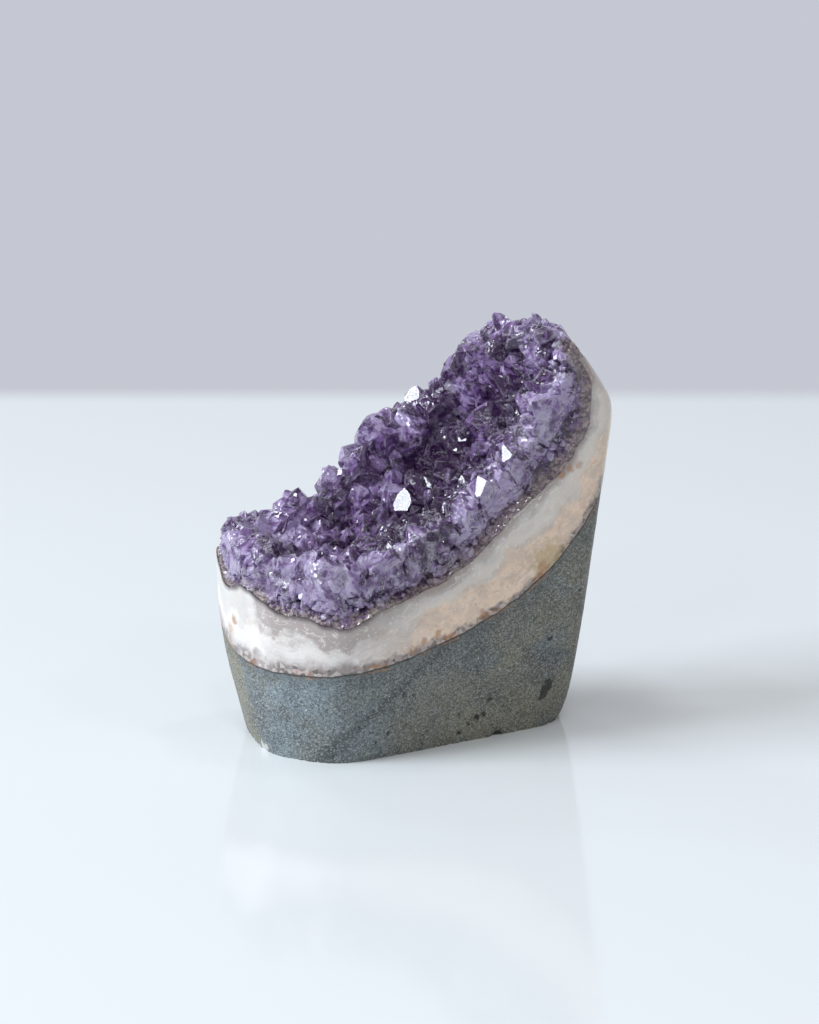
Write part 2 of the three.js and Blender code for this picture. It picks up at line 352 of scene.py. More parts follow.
class StoneColours(bpy.types.PropertyGroup):
    """The colours of the minerals."""

    basalt_grey: FloatVectorProperty(
        name="Basalt grey", description="Blue grey of the fresh basalt", default=(0.165, 0.19, 0.20),
        subtype="COLOR"
    )
    basalt_olive: FloatVectorProperty(
        name="Basalt olive", description="Olive brown of its weathered patches",
        default=(0.225, 0.205, 0.14), subtype="COLOR"
    )
    rust: FloatVectorProperty(
        name="Rust", description="Iron stain along the seams", default=(0.42, 0.19, 0.07),
        subtype="COLOR"
    )
    agate_white: FloatVectorProperty(
        name="Agate white", description="Milky white of the agate", default=(0.665, 0.63, 0.61),
        subtype="COLOR"
    )
    agate_peach: FloatVectorProperty(
        name="Agate peach", description="Peach of its warm patches", default=(0.90, 0.68, 0.51),
        subtype="COLOR"
    )
    agate_smoke: FloatVectorProperty(
        name="Agate smoke", description="Grey beige of the clear bands next to the amethyst",
        default=(0.35, 0.295, 0.285), subtype="COLOR"
    )
    amethyst_pale: FloatVectorProperty(
        name="Amethyst pale", description="Lavender of the pale crystals", default=(0.62, 0.515, 0.80),
        subtype="COLOR"
    )
    amethyst_violet: FloatVectorProperty(
        name="Amethyst violet", description="Violet of most of the crystals",
        default=(0.27, 0.155, 0.395), subtype="COLOR"
    )
    amethyst_deep: FloatVectorProperty(
        name="Amethyst deep", description="Plum of the deep crystals", default=(0.045, 0.012, 0.065),
        subtype="COLOR"
    )
    # Also the colour of the painted highlight along the crystal edges and of the painted sparkle in the
    # frost specks.
    amethyst_frost_and_highlight: FloatVectorProperty(
        name="Amethyst frost", description="Whitish lavender of the worn edges",
        default=(0.82, 0.78, 0.90), subtype="COLOR"
    )
    amethyst_depth: FloatVectorProperty(
        name="Amethyst depth", description="Colour that the clear quartz lets through",
        default=(0.66, 0.40, 0.82), subtype="COLOR"
    )


class StageLook(bpy.types.PropertyGroup):
    """The floor, the backdrop, the lights and the camera."""

    floor: FloatVectorProperty(
        name="Floor", description="Colour of the pale floor", default=(0.775, 0.815, 0.835),
        subtype="COLOR"
    )
    backdrop: FloatVectorProperty(
        name="Backdrop", description="Colour behind the floor", default=(0.558, 0.578, 0.645),
        subtype="COLOR"
    )
    soft_light: FloatVectorProperty(
        name="Soft light", description="Colour and strength of the light from all round",
        default=(0.345, 0.33, 0.32), subtype="COLOR"
    )
    window_power: FloatProperty(
        name="Window", description="Power of the wide light at the left, in watts", default=46.0
    )
    panel_power: FloatProperty(
        name="Panel", description="Power of the wide light above, in watts", default=8.0
    )
    gleam_power: FloatProperty(
        name="Gleams", description="Power of each small light that the crystals mirror, in watts",
        default=1.2
    )
    camera_height: FloatProperty(
        name="Camera height", description="Height of the camera above the floor", default=207.0 * MM,
        unit="LENGTH"
    )
    camera_distance: FloatProperty(
        name="Camera distance", description="Distance of the camera in front of the origin",
        default=591.7 * MM, unit="LENGTH"
    )
    camera_pitch: FloatProperty(
        name="Camera pitch", description="How far the camera looks down", default=math.radians(15),
        subtype="ANGLE"
    )


# Form of the stone


def direction(bearing, dip):
    """The direction with a bearing and a dip below level, in degrees."""
    turn, down = math.radians(bearing), math.radians(dip)
    flat = math.cos(down)
    return np.array((flat * math.cos(turn), flat * math.sin(turn), -math.sin(down)))


NORMALS = np.array([direction(faces, lean) for faces, lean, _ in GROUND_FACES] + [(0, 0, -1)])
OFFSETS = np.array(
    [reach * MM * math.cos(math.radians(lean)) for _, lean, reach in GROUND_FACES] + [BELOW_THE_CUT]
)


def draw(index, kind):
    """A repeatable number from 0 to 1."""
    value = math.sin(index * 12.9898 + kind * 78.233) * 43758.5453
    return value - math.floor(value)


def ease(values, start, end):
    """Runs smoothly from 0 at the start to 1 at the end."""
    share = np.clip((values - start) / (end - start), 0, 1)
    return share * share * (3 - 2 * share)


def soft_largest(values, sharpness):
    """The largest of the last axis, with the turns between them rounded."""
    top = values.max(-1)
    return top + np.log(np.exp((values - top[..., None]) * sharpness).sum(-1)) / sharpness


def outside_wall(points, form):
    """How far outside the ground wall each point is."""
    return soft_largest(points @ NORMALS.T - OFFSETS, form.edge_sharpness)


def wall_reach(axis, out, form):
    """How far it is to the wall from each place, along each direction."""
    far = np.full(len(out), BEYOND_WALL)
    return bisect(lambda half: outside_wall(axis + out * half[:, None], form) < 0, far)


def outside_stone(points, form):
    """How far outside the whole polished shape: the wall, rolled over at the rim of the dish."""
    wall = outside_wall(points, form)
    height = form.dish - np.linalg.norm(points - HOLLOW, axis=-1)
    rim = height - form.rim_height + form.rim_rise * wall
    return soft_largest(np.stack([wall, rim], -1), form.edge_sharpness)


def wander(points, size):
    """Smooth noise from -1 to 1 at each point, with features of one size."""
    return np.array([noise.noise(Vector(point) / size) for point in points])


def cells(points, size, metric="DISTANCE"):
    """For each point the distances to the nearest two of scattered seeds, and its cell's number."""
    marks = np.empty((len(points), 3))
    for i, point in enumerate(points):
        distances, seeds = noise.voronoi(Vector(point) / size, distance_metric=metric)
        kept = math.sin(seeds[0].dot((12.9898, 78.233, 37.719))) * 43758.5453
        marks[i] = distances[0], distances[1], kept - math.floor(kept)
    return marks[:, 0], marks[:, 1], marks[:, 2]


def layer_radius(radius, swells, towards):
    """How far a layer's surface is from the middle of the hollow, along each direction."""
    total = np.full(len(towards), radius)
    for bearing, dip, out, wide in swells:
        away = np.linalg.norm(towards - direction(bearing, dip), axis=1)
        total += out * MM * np.exp(-0.5 * (away / math.radians(wide)) ** 2)
    return total


def basalt_seam(towards, form):
    """Where the agate meets the basalt, along each direction from the hollow."""
    smooth = layer_radius(form.basalt_from, BASALT_SWELLS, towards)
    places = HOLLOW + towards * smooth[:, None]
    return smooth + form.ripple * (0.8 * wander(places, 4 * MM) + 0.5 * wander(places, 1.3 * MM))


def agate_seam(towards, form):
    """Where the amethyst meets the agate: ragged, as the feet of the crystals bite into it."""
    smooth = layer_radius(form.agate_from, AGATE_SWELLS, towards)
    places = HOLLOW + towards * smooth[:, None]
    near, _, _ = cells(places, 3.0 * MM)
    return smooth + form.ripple * (1.0 * wander(places, 5 * MM) + 2.4 * (0.5 - near))


def dish_floor(towards, form):
    """The foot of the crystal points, along each direction from the hollow."""
    smooth = layer_radius(form.dish, DISH_SWELLS, towards)
    places = HOLLOW + towards * smooth[:, None]
    return smooth + form.ripple * (2.0 * wander(places, 6 * MM) + 1.2 * wander(places, 2 * MM))


def from_hollow(points):
    """Each point's distance from the middle of the hollow, and its direction."""
    away = points - HOLLOW
    far = np.linalg.norm(away, axis=1)
    return far, away / far[:, None]


def bisect(inside, far, steps=34):
    """The distance at which each of many rays leaves a shape."""
    near, beyond = np.zeros_like(far), far
    for _ in range(steps):
        half = (near + beyond) / 2
        within = inside(half)
        near, beyond = np.where(within, half, near), np.where(within, beyond, half)
    return near


# Mesh making


def new_piece(name, points, faces):
    mesh = bpy.data.meshes.new(name)
    mesh.from_pydata(points.tolist(), [], faces)
    mesh.update()
    piece = bpy.data.objects.new(name, mesh)
    bpy.context.scene.collection.objects.link(piece)
    return piece


def combine(piece, other, operation):
    """Joins or cuts one closed piece with another, and uses the other one up."""
    for each in (piece, other):
        if len(each.data.loops) != 2 * len(each.data.edges):
            raise RuntimeError("%s isn't closed" % each.name)
    tool = piece.modifiers.new("combine", "BOOLEAN")
    tool.operation = operation
    tool.solver = "MANIFOLD"
    tool.object = other
    graph = bpy.context.evaluated_depsgraph_get()
    result = bpy.data.meshes.new_from_object(piece.evaluated_get(graph))
    piece.modifiers.clear()
    piece.data = result
    bpy.data.objects.remove(other)


def keep_largest(mesh):
    """Takes away the specks that the cuts leave loose, so that one closed form stays."""
    whole = bmesh.new()
    whole.from_mesh(mesh)
    left, forms = set(whole.verts), []
    while left:
        open_ends = [left.pop()]
        form = set(open_ends)
        while open_ends:
            vertex = open_ends.pop()
            for near in (edge.other_vert(vertex) for edge in vertex.link_edges):
                if near in left:
                    left.remove(near)
                    form.add(near)
                    open_ends.append(near)
        forms.append(form)
    forms.sort(key=len)
    specks = [vertex for form in forms[:-1] for vertex in form]
    bmesh.ops.delete(whole, geom=specks, context="VERTS")
    whole.to_mesh(mesh)
    whole.free()


def vertex_places(mesh):
    places = np.empty(len(mesh.vertices) * 3)
    mesh.vertices.foreach_get("co", places)
    return places.reshape(-1, 3)


def store(piece, name, values, domain="POINT"):
    """Keeps numbers on a piece for the finishes to read, one for each vertex, face or corner."""
    mesh = piece.data
    layer = mesh.attributes.new(name, "FLOAT", domain)
    numbers = np.broadcast_to(np.asarray(values, dtype=np.float32), (len(layer.data),))
    layer.data.foreach_set("value", np.ascontiguousarray(numbers))


def corner_values(piece, values):
    """The value of each face corner, from one value for each vertex."""
    mesh = piece.data
    corners = np.empty(len(mesh.loops), dtype=np.int32)
    mesh.loops.foreach_get("vertex_index", corners)
    return values[corners]


def finish_piece(piece, material, node, sharp_angle):
    """Smooth shading with crisp edges, the finish, and the body that the piece rides on."""
    mesh = piece.data
    mesh.polygons.foreach_set("use_smooth", [True] * len(mesh.polygons))
    mesh.set_sharp_from_angle(angle=math.radians(sharp_angle))
    mesh.materials.clear()
    mesh.materials.append(material)
    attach(piece, "root")
    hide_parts(node)


def ring_faces(rows, columns):
    """Quads between rings of points, the rings running anticlockwise seen from above."""
    faces = []
    for row in range(rows - 1):
        low = row * columns
        high = low + columns
        for column in range(columns):
            beside = (column + 1) % columns
            faces.append((low + column, low + beside, high + beside, high + column))
    return faces


def wall_form(name, low, high, form, inset):
    """The ground wall between two heights, closed flat above and below."""
    rows = int(round((high - low) / WALL_STEP)) + 1
    turns = np.linspace(-np.pi, np.pi, WALL_COLUMNS, endpoint=False)
    turn, height = (grid.ravel() for grid in np.meshgrid(turns, np.linspace(low, high, rows)))
    out = np.stack([np.cos(turn), np.sin(turn), np.zeros_like(turn)], -1)
    axis = np.stack([np.full_like(height, MIDDLE[0]), np.full_like(height, MIDDLE[1]), height], -1)
    points = axis + out * wall_reach(axis, out, form)[:, None]
    points -= out * inset(points)[:, None]
    faces = ring_faces(rows, WALL_COLUMNS)
    faces.append(tuple(reversed(range(WALL_COLUMNS))))
    faces.append(tuple(range(len(points) - WALL_COLUMNS, len(points))))
    return new_piece(name, points, faces)


def round_form(name, centre, polar, columns, distance):
    """A round form about a centre, each ray as long as a rule gives."""
    turns = np.linspace(0, 2 * np.pi, columns, endpoint=False)
    turn, down = (grid.ravel() for grid in np.meshgrid(turns, polar[::-1]))
    towards = np.stack([np.sin(down) * np.cos(turn), np.sin(down) * np.sin(turn), np.cos(down)], -1)
    towards = np.vstack([towards, [(0, 0, -1.0), (0, 0, 1.0)]])
    points = centre + towards * distance(towards)[:, None]
    faces = ring_faces(len(polar), columns)
    bottom, top = len(points) - 2, len(points) - 1
    last = bottom - columns
    for column in range(columns):
        beside = (column + 1) % columns
        faces.append((bottom, beside, column))
        faces.append((top, last + column, last + beside))
    return new_piece(name, points, faces)


def shell_ball(name, distance, step_degrees):
    """All that lies nearer to the middle of the hollow than a layer's surface."""
    fine = np.radians(np.arange(80, 180, step_degrees))
    coarse = np.radians(np.arange(10, 80, 10))
    return round_form(name, HOLLOW, np.concatenate([coarse, fine]), int(360 / step_degrees), distance)


# Basalt and agate


def placed_pits(table, form):
    """The middle of each pit of a table, moved onto the wall, and its radius and depth."""
    sizes = np.array(table) * MM
    places, _ = on_wall(sizes[:, :3], form)
    return [(place, size[3], size[4]) for place, size in zip(places, sizes)]


def pit_places(form):
    """Every pit of the basalt: its middle, radius and depth."""
    pits = placed_pits(MAIN_PITS, form)
    for i in range(SMALL_PITS):
        radius = (0.25 + 0.45 * draw(i, 41) ** 3) * MM
        out = direction(360 * draw(i, 42), 0)[None]
        axis = np.array([[MIDDLE[0], MIDDLE[1], 60 * MM * draw(i, 43)]])
        pits.append((axis[0] + out[0] * wall_reach(axis, out, form)[0], radius, 0.8 * radius))
    return pits


def pit_depth(points, pits):
    """How deep the pits make the wall at each point."""
    depth = np.zeros(len(points))
    for place, radius, deep in pits:
        near = np.abs(points - place).max(1) < 1.4 * radius
        inside = points[near]
        rough = 1 + 0.35 * wander(inside, 0.5 * MM)
        away = np.linalg.norm(inside - place, axis=1) / radius * rough
        depth[near] = np.maximum(depth[near], deep * np.clip(1 - away ** 2, 0, 1) ** 0.6)
    return depth


def edge_chips(points, form):
    """Small chips along the edge of the saw cut."""
    near = np.clip(1 - points[:, 2] / (1.5 * MM), 0, 1)
    low = near > 0
    flat = points[low] * (1, 1, 0)
    rough = wander(flat, 2.4 * MM) + 0.7 * wander(flat, 0.8 * MM)
    depth = np.zeros(len(points))
    depth[low] = form.chip * near[low] * np.clip(rough + 0.12, 0.08, 1)
    return depth


def add_basalt_piece(form, colours):
    pits = pit_places(form)

    def inset(points):
        hand = 0.10 * wander(points, 9 * MM) + 0.05 * wander(points, 2.5 * MM) + 0.12
        return pit_depth(points, pits) + edge_chips(points, form) + hand * MM

    piece = wall_form("basalt_ground", 0.0, 66 * MM, form, inset)
    ball = shell_ball("basalt_seam", lambda towards: basalt_seam(towards, form), 0.5)
    combine(piece, ball, "DIFFERENCE")
    points = vertex_places(piece.data)
    far, towards = from_hollow(points)
    store(piece, "below_seam", (far - basalt_seam(towards, form)) / MM)
    store(piece, "pit", pit_depth(points, pits) / (0.4 * MM))
    finish_piece(piece, basalt_finish(colours), "basalt_base", 40)


def add_agate_piece(form, colours):
    chips = placed_pits(AGATE_CHIPS, form)
    piece = wall_form(
        "agate_polished", 17 * MM, 84 * MM, form, lambda points: pit_depth(points, chips)
    )
    foot = shell_ball("agate_foot", lambda towards: basalt_seam(towards, form) - form.seam, 0.5)
    combine(piece, foot, "INTERSECT")
    head = shell_ball("agate_head", lambda towards: agate_seam(towards, form), 0.5)
    combine(piece, head, "DIFFERENCE")
    points = vertex_places(piece.data)
    far, towards = from_hollow(points)
    inner, outer = agate_seam(towards, form), basalt_seam(towards, form)
    store(piece, "depth", (outer - far) / (outer - inner))
    store(piece, "above_foot", (outer - far) / MM)
    store(piece, "below_head", (far - inner) / MM)
    finish_piece(piece, agate_finish(colours), "agate_band", 40)


# Crystals


def crystal_planes(width, proud, seed, habit):
    """One quartz crystal along +Z as planes: its root, a six-sided prism and a six-sided point."""
    slope = habit.point_angle
    normals = [(0, 0, -1.0)]
    offsets = [root_depth(width, habit)]
    for side in range(6):
        turn = side * math.pi / 3
        half = width / 2 * (0.88 + 0.24 * draw(seed, side))
        normals.append((math.cos(turn), math.sin(turn), 0))
        offsets.append(half)
        if seed < SMALL_FROM:
            back = 0 if side % 2 == 0 else SET_BACK[0] + (SET_BACK[1] - SET_BACK[0]) * draw(seed, side + 6)
        else:
            back = SMALL_SET_BACK * draw(seed, side + 6)
        flat = math.cos(slope)
        normals.append((flat * math.cos(turn), flat * math.sin(turn), math.sin(slope)))
        offsets.append((proud + back * width) * math.sin(slope))
    return np.array(normals), np.array(offsets)


def root_depth(width, habit):
    """How far down a crystal reaches: the small ones less far."""
    return min(habit.root_depth, 0.6 * MM + 1.4 * width)


PLANES = 13
PLANE_TRIPLES = np.array([
    (a, b, c) for a in range(PLANES) for b in range(a + 1, PLANES) for c in range(b + 1, PLANES)
])
DOMING = 0.03


def planes_to_form(normals, offsets):
    """The convex form that some planes enclose, each face a fan about a slightly raised middle.

    Gives the points, the faces, and how far each point is from the outline of its crystal face.
    """
    matrices = normals[PLANE_TRIPLES]
    meet = np.abs(np.linalg.det(matrices)) > 1e-4
    triples = PLANE_TRIPLES[meet]
    corners = np.linalg.solve(matrices[meet], offsets[triples][..., None])[..., 0]
    enclosed = (corners @ normals.T <= offsets + 1e-8).all(1)
    corners, triples = corners[enclosed], triples[enclosed]
    first = (np.linalg.norm(corners[:, None] - corners[None], axis=2) < 1e-6).argmax(1)
    while (first[first] != first).any():
        first = first[first]
    kept, number = np.unique(first, return_inverse=True)
    corners = corners[kept]
    touches = np.zeros((len(kept), len(normals)), dtype=bool)
    touches[number[:, None], triples] = True
    points, faces, inset = list(corners), [], [0.0] * len(corners)
    for normal, touched in zip(normals, touches.T):
        on = np.where(touched)[0]
        if len(on) < 3:
            continue
        middle = corners[on].mean(0)
        spokes = corners[on] - middle
        along = spokes[0] / np.linalg.norm(spokes[0])
        ring = on[np.argsort(np.arctan2(spokes @ np.cross(normal, along), spokes @ along))]
        if normal[2] == -1:
            faces.append(ring.tolist())
            continue
        following = np.roll(ring, -1)
        sides = corners[following] - corners[ring]
        reach = np.linalg.norm(np.cross(sides, middle - corners[ring]), axis=1)
        reach = (reach / np.linalg.norm(sides, axis=1)).min()
        faces += [(int(a), int(b), len(points)) for a, b in zip(ring, following)]
        points.append(middle + normal * reach * DOMING)
        inset.append(reach)
    return np.array(points), faces, np.array(inset)


def frame_about(axis, near):
    """Axes with +Z along a direction and +X as near as can be to another."""
    across = near - axis * (near @ axis)
    across = across / np.linalg.norm(across)
    return np.stack([across, np.cross(axis, across), axis], 1)


def stand_up(towards, lean, lean_to, turn):
    """The turn that stands a crystal on the dish, growing in towards the hollow with a lean."""
    inwards = -towards
    side = np.cross(inwards, direction(lean_to, 0))
    side /= np.linalg.norm(side)
    tilt = math.radians(lean)
    axis = inwards * math.cos(tilt) + np.cross(side, inwards) * math.sin(tilt)
    upright = Vector((0, 0, 1)).rotation_difference(Vector(axis)).to_matrix()
    spin = np.array(
        ((math.cos(turn), -math.sin(turn), 0), (math.sin(turn), math.cos(turn), 0), (0, 0, 1))
    )
    return np.array(upright) @ spin


def face_window(towards, habit):
    """The turn that gives a crystal on the dish one face towards the window."""
    bright = direction(*BRIGHT_WAY)
    growth = -towards + (0, 0, 0.5)
    growth -= bright * (growth @ bright)
    growth /= np.linalg.norm(growth)
    slope = habit.point_angle
    axis = bright * math.sin(slope) + growth * math.cos(slope)
    return frame_about(axis, bright)


def on_dish(towards, form):
    """The foot of the crystals in a direction from the hollow."""
    return HOLLOW + towards * layer_radius(form.dish, DISH_SWELLS, towards[None])[0]


def main_crystals(form, habit):
    """The crystals that stand out, each as root, width, height, turn and seed."""
    crystals = []
    for i, (bearing, dip, width, proud, lean, lean_to) in enumerate(MAIN_CRYSTALS):
        towards = direction(bearing, dip)
        turned = stand_up(towards, lean, lean_to, draw(i, 20) * math.pi)
        crystals.append((on_dish(towards, form), width * MM, proud * MM, turned, i))
    for i, (bearing, dip, width, proud) in enumerate(BRIGHT_CRYSTALS):
        towards = direction(bearing, dip)
        turned = face_window(towards, habit)
        crystals.append((on_dish(towards, form), width * MM, proud * MM, turned, BRIGHT_FROM + i))
    return crystals


def field_crystals(form, main):
    """The crystals between the main ones, spread evenly over the geode's wall."""
    crystals = []
    for count, thin, thick, short, tall, lean, past, first in FIELD_CRYSTALS:
        seeds = range(first, first + count)
        down = np.array([(i + draw(seed, 1)) / count for i, seed in enumerate(seeds)])
        turn = np.array([i * GOLDEN_TURN + 0.06 * (draw(seed, 2) - 0.5) for i, seed in enumerate(seeds)])
        flat = np.sqrt(1 - down * down)
        towards = np.stack([flat * np.cos(turn), flat * np.sin(turn), -down], -1)
        roots = HOLLOW + towards * layer_radius(form.dish, DISH_SWELLS, towards)[:, None]
        rooted = (outside_wall(roots, form) < past * MM) & (roots[:, 2] > 0)
        for i in np.where(rooted)[0]:
            seed = first + int(i)
            width = (thin + (thick - thin) * draw(seed, 3) ** 1.6) * MM
            proud = width * (short + (tall - short) * draw(seed, 4))
            crowded = any(np.linalg.norm(big[0] - roots[i]) < 0.55 * big[1] for big in main)
            if seed < SMALL_FROM and crowded:
                continue
            turned = stand_up(
                towards[i], lean * draw(seed, 5), 360 * draw(seed, 6), draw(seed, 7) * math.pi
            )
            crystals.append((roots[i], width, proud, turned, seed))
    return crystals


def on_wall(places, form):
    """The point of the ground wall level with each place, and the way the wall faces there."""
    axis = np.stack([np.full(len(places), MIDDLE[0]), np.full(len(places), MIDDLE[1]), places[:, 2]], -1)
    out = (places - axis) / np.linalg.norm(places - axis, axis=1)[:, None]
    points = axis + out * wall_reach(axis, out, form)[:, None]
    steps = np.eye(3) * 0.2 * MM
    normals = np.stack(
        [outside_wall(points + step, form) - outside_wall(points - step, form) for step in steps], -1
    )
    return points, normals / np.linalg.norm(normals, axis=1)[:, None]


def side_crystal(place, normal, width, growth, seed):
    """A crystal on the crust's side, its point about level with a place on the lumps."""
    growth = growth / np.linalg.norm(growth)
    sunk = 0.5 * width + 0.3 * MM
    proud = (sunk + (0.9 * draw(seed, 8) - 0.7) * MM) / max(growth @ normal, 0.45)
    spun = frame_about(growth, np.array((draw(seed, 9) - 0.5, draw(seed, 10) - 0.5, 1.0)))
    return place - normal * sunk, width, proud, spun, seed


def side_crystals(form):
    """The crystals on the side of the crust that was broken and not ground smooth."""
    table = np.array(SIDE_MAIN)
    points, normals = on_wall(table[:, :3] * MM, form)
    crystals = [
        side_crystal(point, normal, row[3] * MM, direction(row[4], row[5]), SIDE_FROM + i)
        for i, (point, normal, row) in enumerate(zip(points, normals, table))
    ]
    for count, thin, thick, first in SIDE_CRYSTALS:
        turns = np.arange(count) * GOLDEN_TURN
        heights = np.array([SIDE_HEIGHT * draw(first + i, 1) for i in range(count)])
        towards = np.stack([np.cos(turns), np.sin(turns), np.zeros(count)], -1)
        points, normals = on_wall(MIDDLE * (1, 1, 0) + towards * MM + heights[:, None] * (0, 0, 1), form)
        far, inwards = from_hollow(points)
        above = agate_seam(inwards, form) - far
        rim = far - layer_radius(form.dish, DISH_SWELLS, inwards)
        deep = lumps(points) * ease(above, 0.1 * MM, 1.6 * MM)
        for i in np.where((above > 0.25 * MM) & (rim > -0.6 * MM))[0]:
            seed = first + int(i)
            width = min((thin + (thick - thin) * draw(seed, 3)) * MM, 0.8 * MM + 1.1 * above[i])
            smooth = ease(points[i, 0], *SMOOTH_END)
            if width < 0.8 * thin * MM or draw(seed, 2) < smooth:
                continue
            stray = np.array([draw(seed, kind) - 0.5 for kind in (4, 5, 6)])
            growth = normals[i] - 0.35 * inwards[i] + 1.2 * stray
            place = points[i] - normals[i] * deep[i]
            crystals.append(side_crystal(place, normals[i], width, growth, seed))
    return crystals


def perched_crystals(large, habit):
    """Small crystals on the faces of the large ones."""
    slope = habit.point_angle
    crystals = []
    for root, width, proud, turned, seed in large:
        for k in range(PERCHED):
            mark = PERCHED_FROM + seed * PERCHED + k
            around = 2 * math.pi * draw(mark, 1)
            out = width * (0.12 + 0.40 * draw(mark, 2))
            up = proud - out / math.tan(slope)
            small = (PERCHED_WIDTH[0] + (PERCHED_WIDTH[1] - PERCHED_WIDTH[0]) * draw(mark, 3) ** 2) * MM
            away = np.array((math.cos(around), math.sin(around), 0))
            place = away * out + (0, 0, up)
            normal = away * math.cos(slope) + (0, 0, math.sin(slope))
            growth = normal + (0.5 * draw(mark, 4) - 0.25, 0.5 * draw(mark, 5) - 0.25, 0.5)
            growth /= np.linalg.norm(growth)
            stood = turned @ frame_about(growth, np.array((draw(mark, 6), 1.0, 0.3)))
            height = small * (0.15 + 0.4 * draw(mark, 7))
            crystals.append((root + turned @ place, small, height, stood, mark))
    return crystals


def separate_groups(roots, sizes):
    """Sorts the crystals into groups in which no two touch."""
    group = np.full(len(roots), -1)
    for i in range(len(roots)):
        near = np.linalg.norm(roots[:i] - roots[i], axis=1) < sizes[:i] + sizes[i]
        taken = set(group[:i][near].tolist())
        group[i] = next(g for g in range(len(roots)) if g not in taken)
    return [np.where(group == g)[0] for g in range(group.max() + 1)]


def crystal_group(crystals, lift, habit):
    """One piece of many crystals that don't touch."""
    points, faces, insets, climbs, tones, count = [], [], [], [], [], 0
    for root, width, proud, turned, seed in crystals:
        corners, sides, inset = planes_to_form(*crystal_planes(width, proud, seed, habit))
        points.append(root + corners @ turned.T)
        faces += [[count + corner for corner in side] for side in sides]
        insets.append(inset / MM)
        climbs.append((corners[:, 2] + lift[len(climbs)]) / MM)
        mirror = BRIGHT_FROM <= seed < SIDE_FROM
        tones += [
            1.0 if mirror else 0.45 * draw(seed, 31) + 0.45 * draw(seed, 40 + side[-1])
            for side in sides
        ]
        count += len(corners)
    piece = new_piece("points", np.vstack(points), faces)
    store(piece, "inset", corner_values(piece, np.concatenate(insets)), "CORNER")
    store(piece, "climb", corner_values(piece, np.concatenate(climbs)), "CORNER")
    store(piece, "tone", tones, "FACE")
    store(piece, "ground", 0, "FACE")
    return piece


# A turn that keeps the facets of the broken side out of line with the axes.
SKEW = np.array(Euler((0.6, 0.5, 0.3)).to_matrix())


def stone_form(name, form, step, relief):
    """The whole stone, sunk by a relief, in millimetres, where it is amethyst."""
    polar = np.radians(np.arange(step, 180, step))

    def distance(rays):
        far = np.full(len(rays), BEYOND_STONE)
        reach = bisect(lambda half: outside_stone(MIDDLE + rays * half[:, None], form) < 0, far)
        points = MIDDLE + rays * reach[:, None]
        above = above_agate(points, form)
        on = above > -0.5 * MM
        rough = 0.05 + 0.95 * ease(above[on], 0.1 * MM, 1.6 * MM)
        rough *= 1 - 0.9 * ease(points[on][:, 0], *SMOOTH_END)
        reach[on] -= rough * relief(points[on]) * MM
        return reach

    return round_form(name, MIDDLE, polar, int(360 / step), distance)


def above_agate(points, form):
    """How far above the agate each point is, towards the hollow."""
    far, towards = from_hollow(points)
    return agate_seam(towards, form) - far


def lumps(points):
    """How deep the broken side lies between its largest rounded lumps, in metres."""
    return LUMP_DEPTH * cells(points, LUMP)[0] ** 2


def broken_side(form):
    """The stone inside the crystals of the crust's side: lumpy and faceted."""
    def relief(points):
        facets, _, _ = cells(points @ SKEW, FACET, "CHEBYCHEV")
        return lumps(points) / MM + 0.7 + 2.0 * facets

    stone = stone_form("broken_side", form, 0.9, relief)
    plain_marks(stone)
    return stone


def ground_side(form):
    """The worn side of the crust, which cuts off what stands past it."""
    stone = stone_form("ground_side", form, 0.8, lambda points: 0.8 * lumps(points) / MM)
    points = vertex_places(stone.data)
    near, second, _ = cells(points, LUMP)
    close, beside, _ = cells(points, FACET)
    inset = np.minimum((second - near) * 1.8, (beside - close) * 1.3)
    store(stone, "inset", corner_values(stone, inset), "CORNER")
    store(stone, "climb", 1.6, "CORNER")
    store(stone, "tone", 0.5, "FACE")
    store(stone, "ground", 1, "FACE")
    return stone


def plain_marks(piece):
    """The marks of the crust between its crystals."""
    store(piece, "inset", 1.0, "CORNER")
    store(piece, "climb", -1.0, "CORNER")
    store(piece, "tone", 0.5, "FACE")
    store(piece, "ground", 0, "FACE")


def all_crystals(form, habit):
    """Every crystal of the crust, and how far above the foot of the points each one's root lies."""
    main = main_crystals(form, habit)
    crystals = main + field_crystals(form, main[:len(MAIN_CRYSTALS)])
    crystals += perched_crystals([crystal for crystal in crystals if is_large(crystal)], habit)
    roots = np.array([crystal[0] for crystal in crystals])
    far, towards = from_hollow(roots)
    lift = layer_radius(form.dish, DISH_SWELLS, towards) - far
    sides = side_crystals(form)
    lift = np.append(lift, [SIDE_CLIMB - crystal[2] for crystal in sides])
    return crystals + sides, lift


def crystal_sizes(crystals, habit):
    """The radius round each root that holds the whole crystal."""
    widths, heights = (np.array([crystal[part] for crystal in crystals]) for part in (1, 2))
    depths = np.array([root_depth(width, habit) for width in widths])
    return np.maximum(0.6 * widths, 0.5 * (heights + depths)) + 0.5 * widths


def add_amethyst_piece(form, habit, colours):
    crystals, lift = all_crystals(form, habit)
    roots = np.array([crystal[0] for crystal in crystals])
    piece = shell_ball("amethyst_crust", lambda towards: agate_seam(towards, form) + 1.0 * MM, 3.0)
    plain_marks(piece)
    dish = shell_ball("dish", lambda towards: dish_floor(towards, form), 1.5)
    plain_marks(dish)
    combine(piece, dish, "DIFFERENCE")
    combine(piece, broken_side(form), "INTERSECT")
    for members in separate_groups(roots, crystal_sizes(crystals, habit)):
        group = crystal_group([crystals[i] for i in members], lift[members], habit)
        combine(piece, group, "UNION")
    combine(piece, ground_side(form), "INTERSECT")
    foot = shell_ball("amethyst_foot", lambda towards: agate_seam(towards, form) - form.seam, 0.8)
    plain_marks(foot)
    combine(piece, foot, "INTERSECT")
    keep_largest(piece.data)

    points = vertex_places(piece.data)
    store(piece, "depth", above_agate(points, form) / MM)
    store(piece, "bowl", ease(-outside_wall(points, form), 2 * MM, 13 * MM))
    finish_piece(piece, amethyst_finish(habit, colours), "amethyst_crystals", 14)


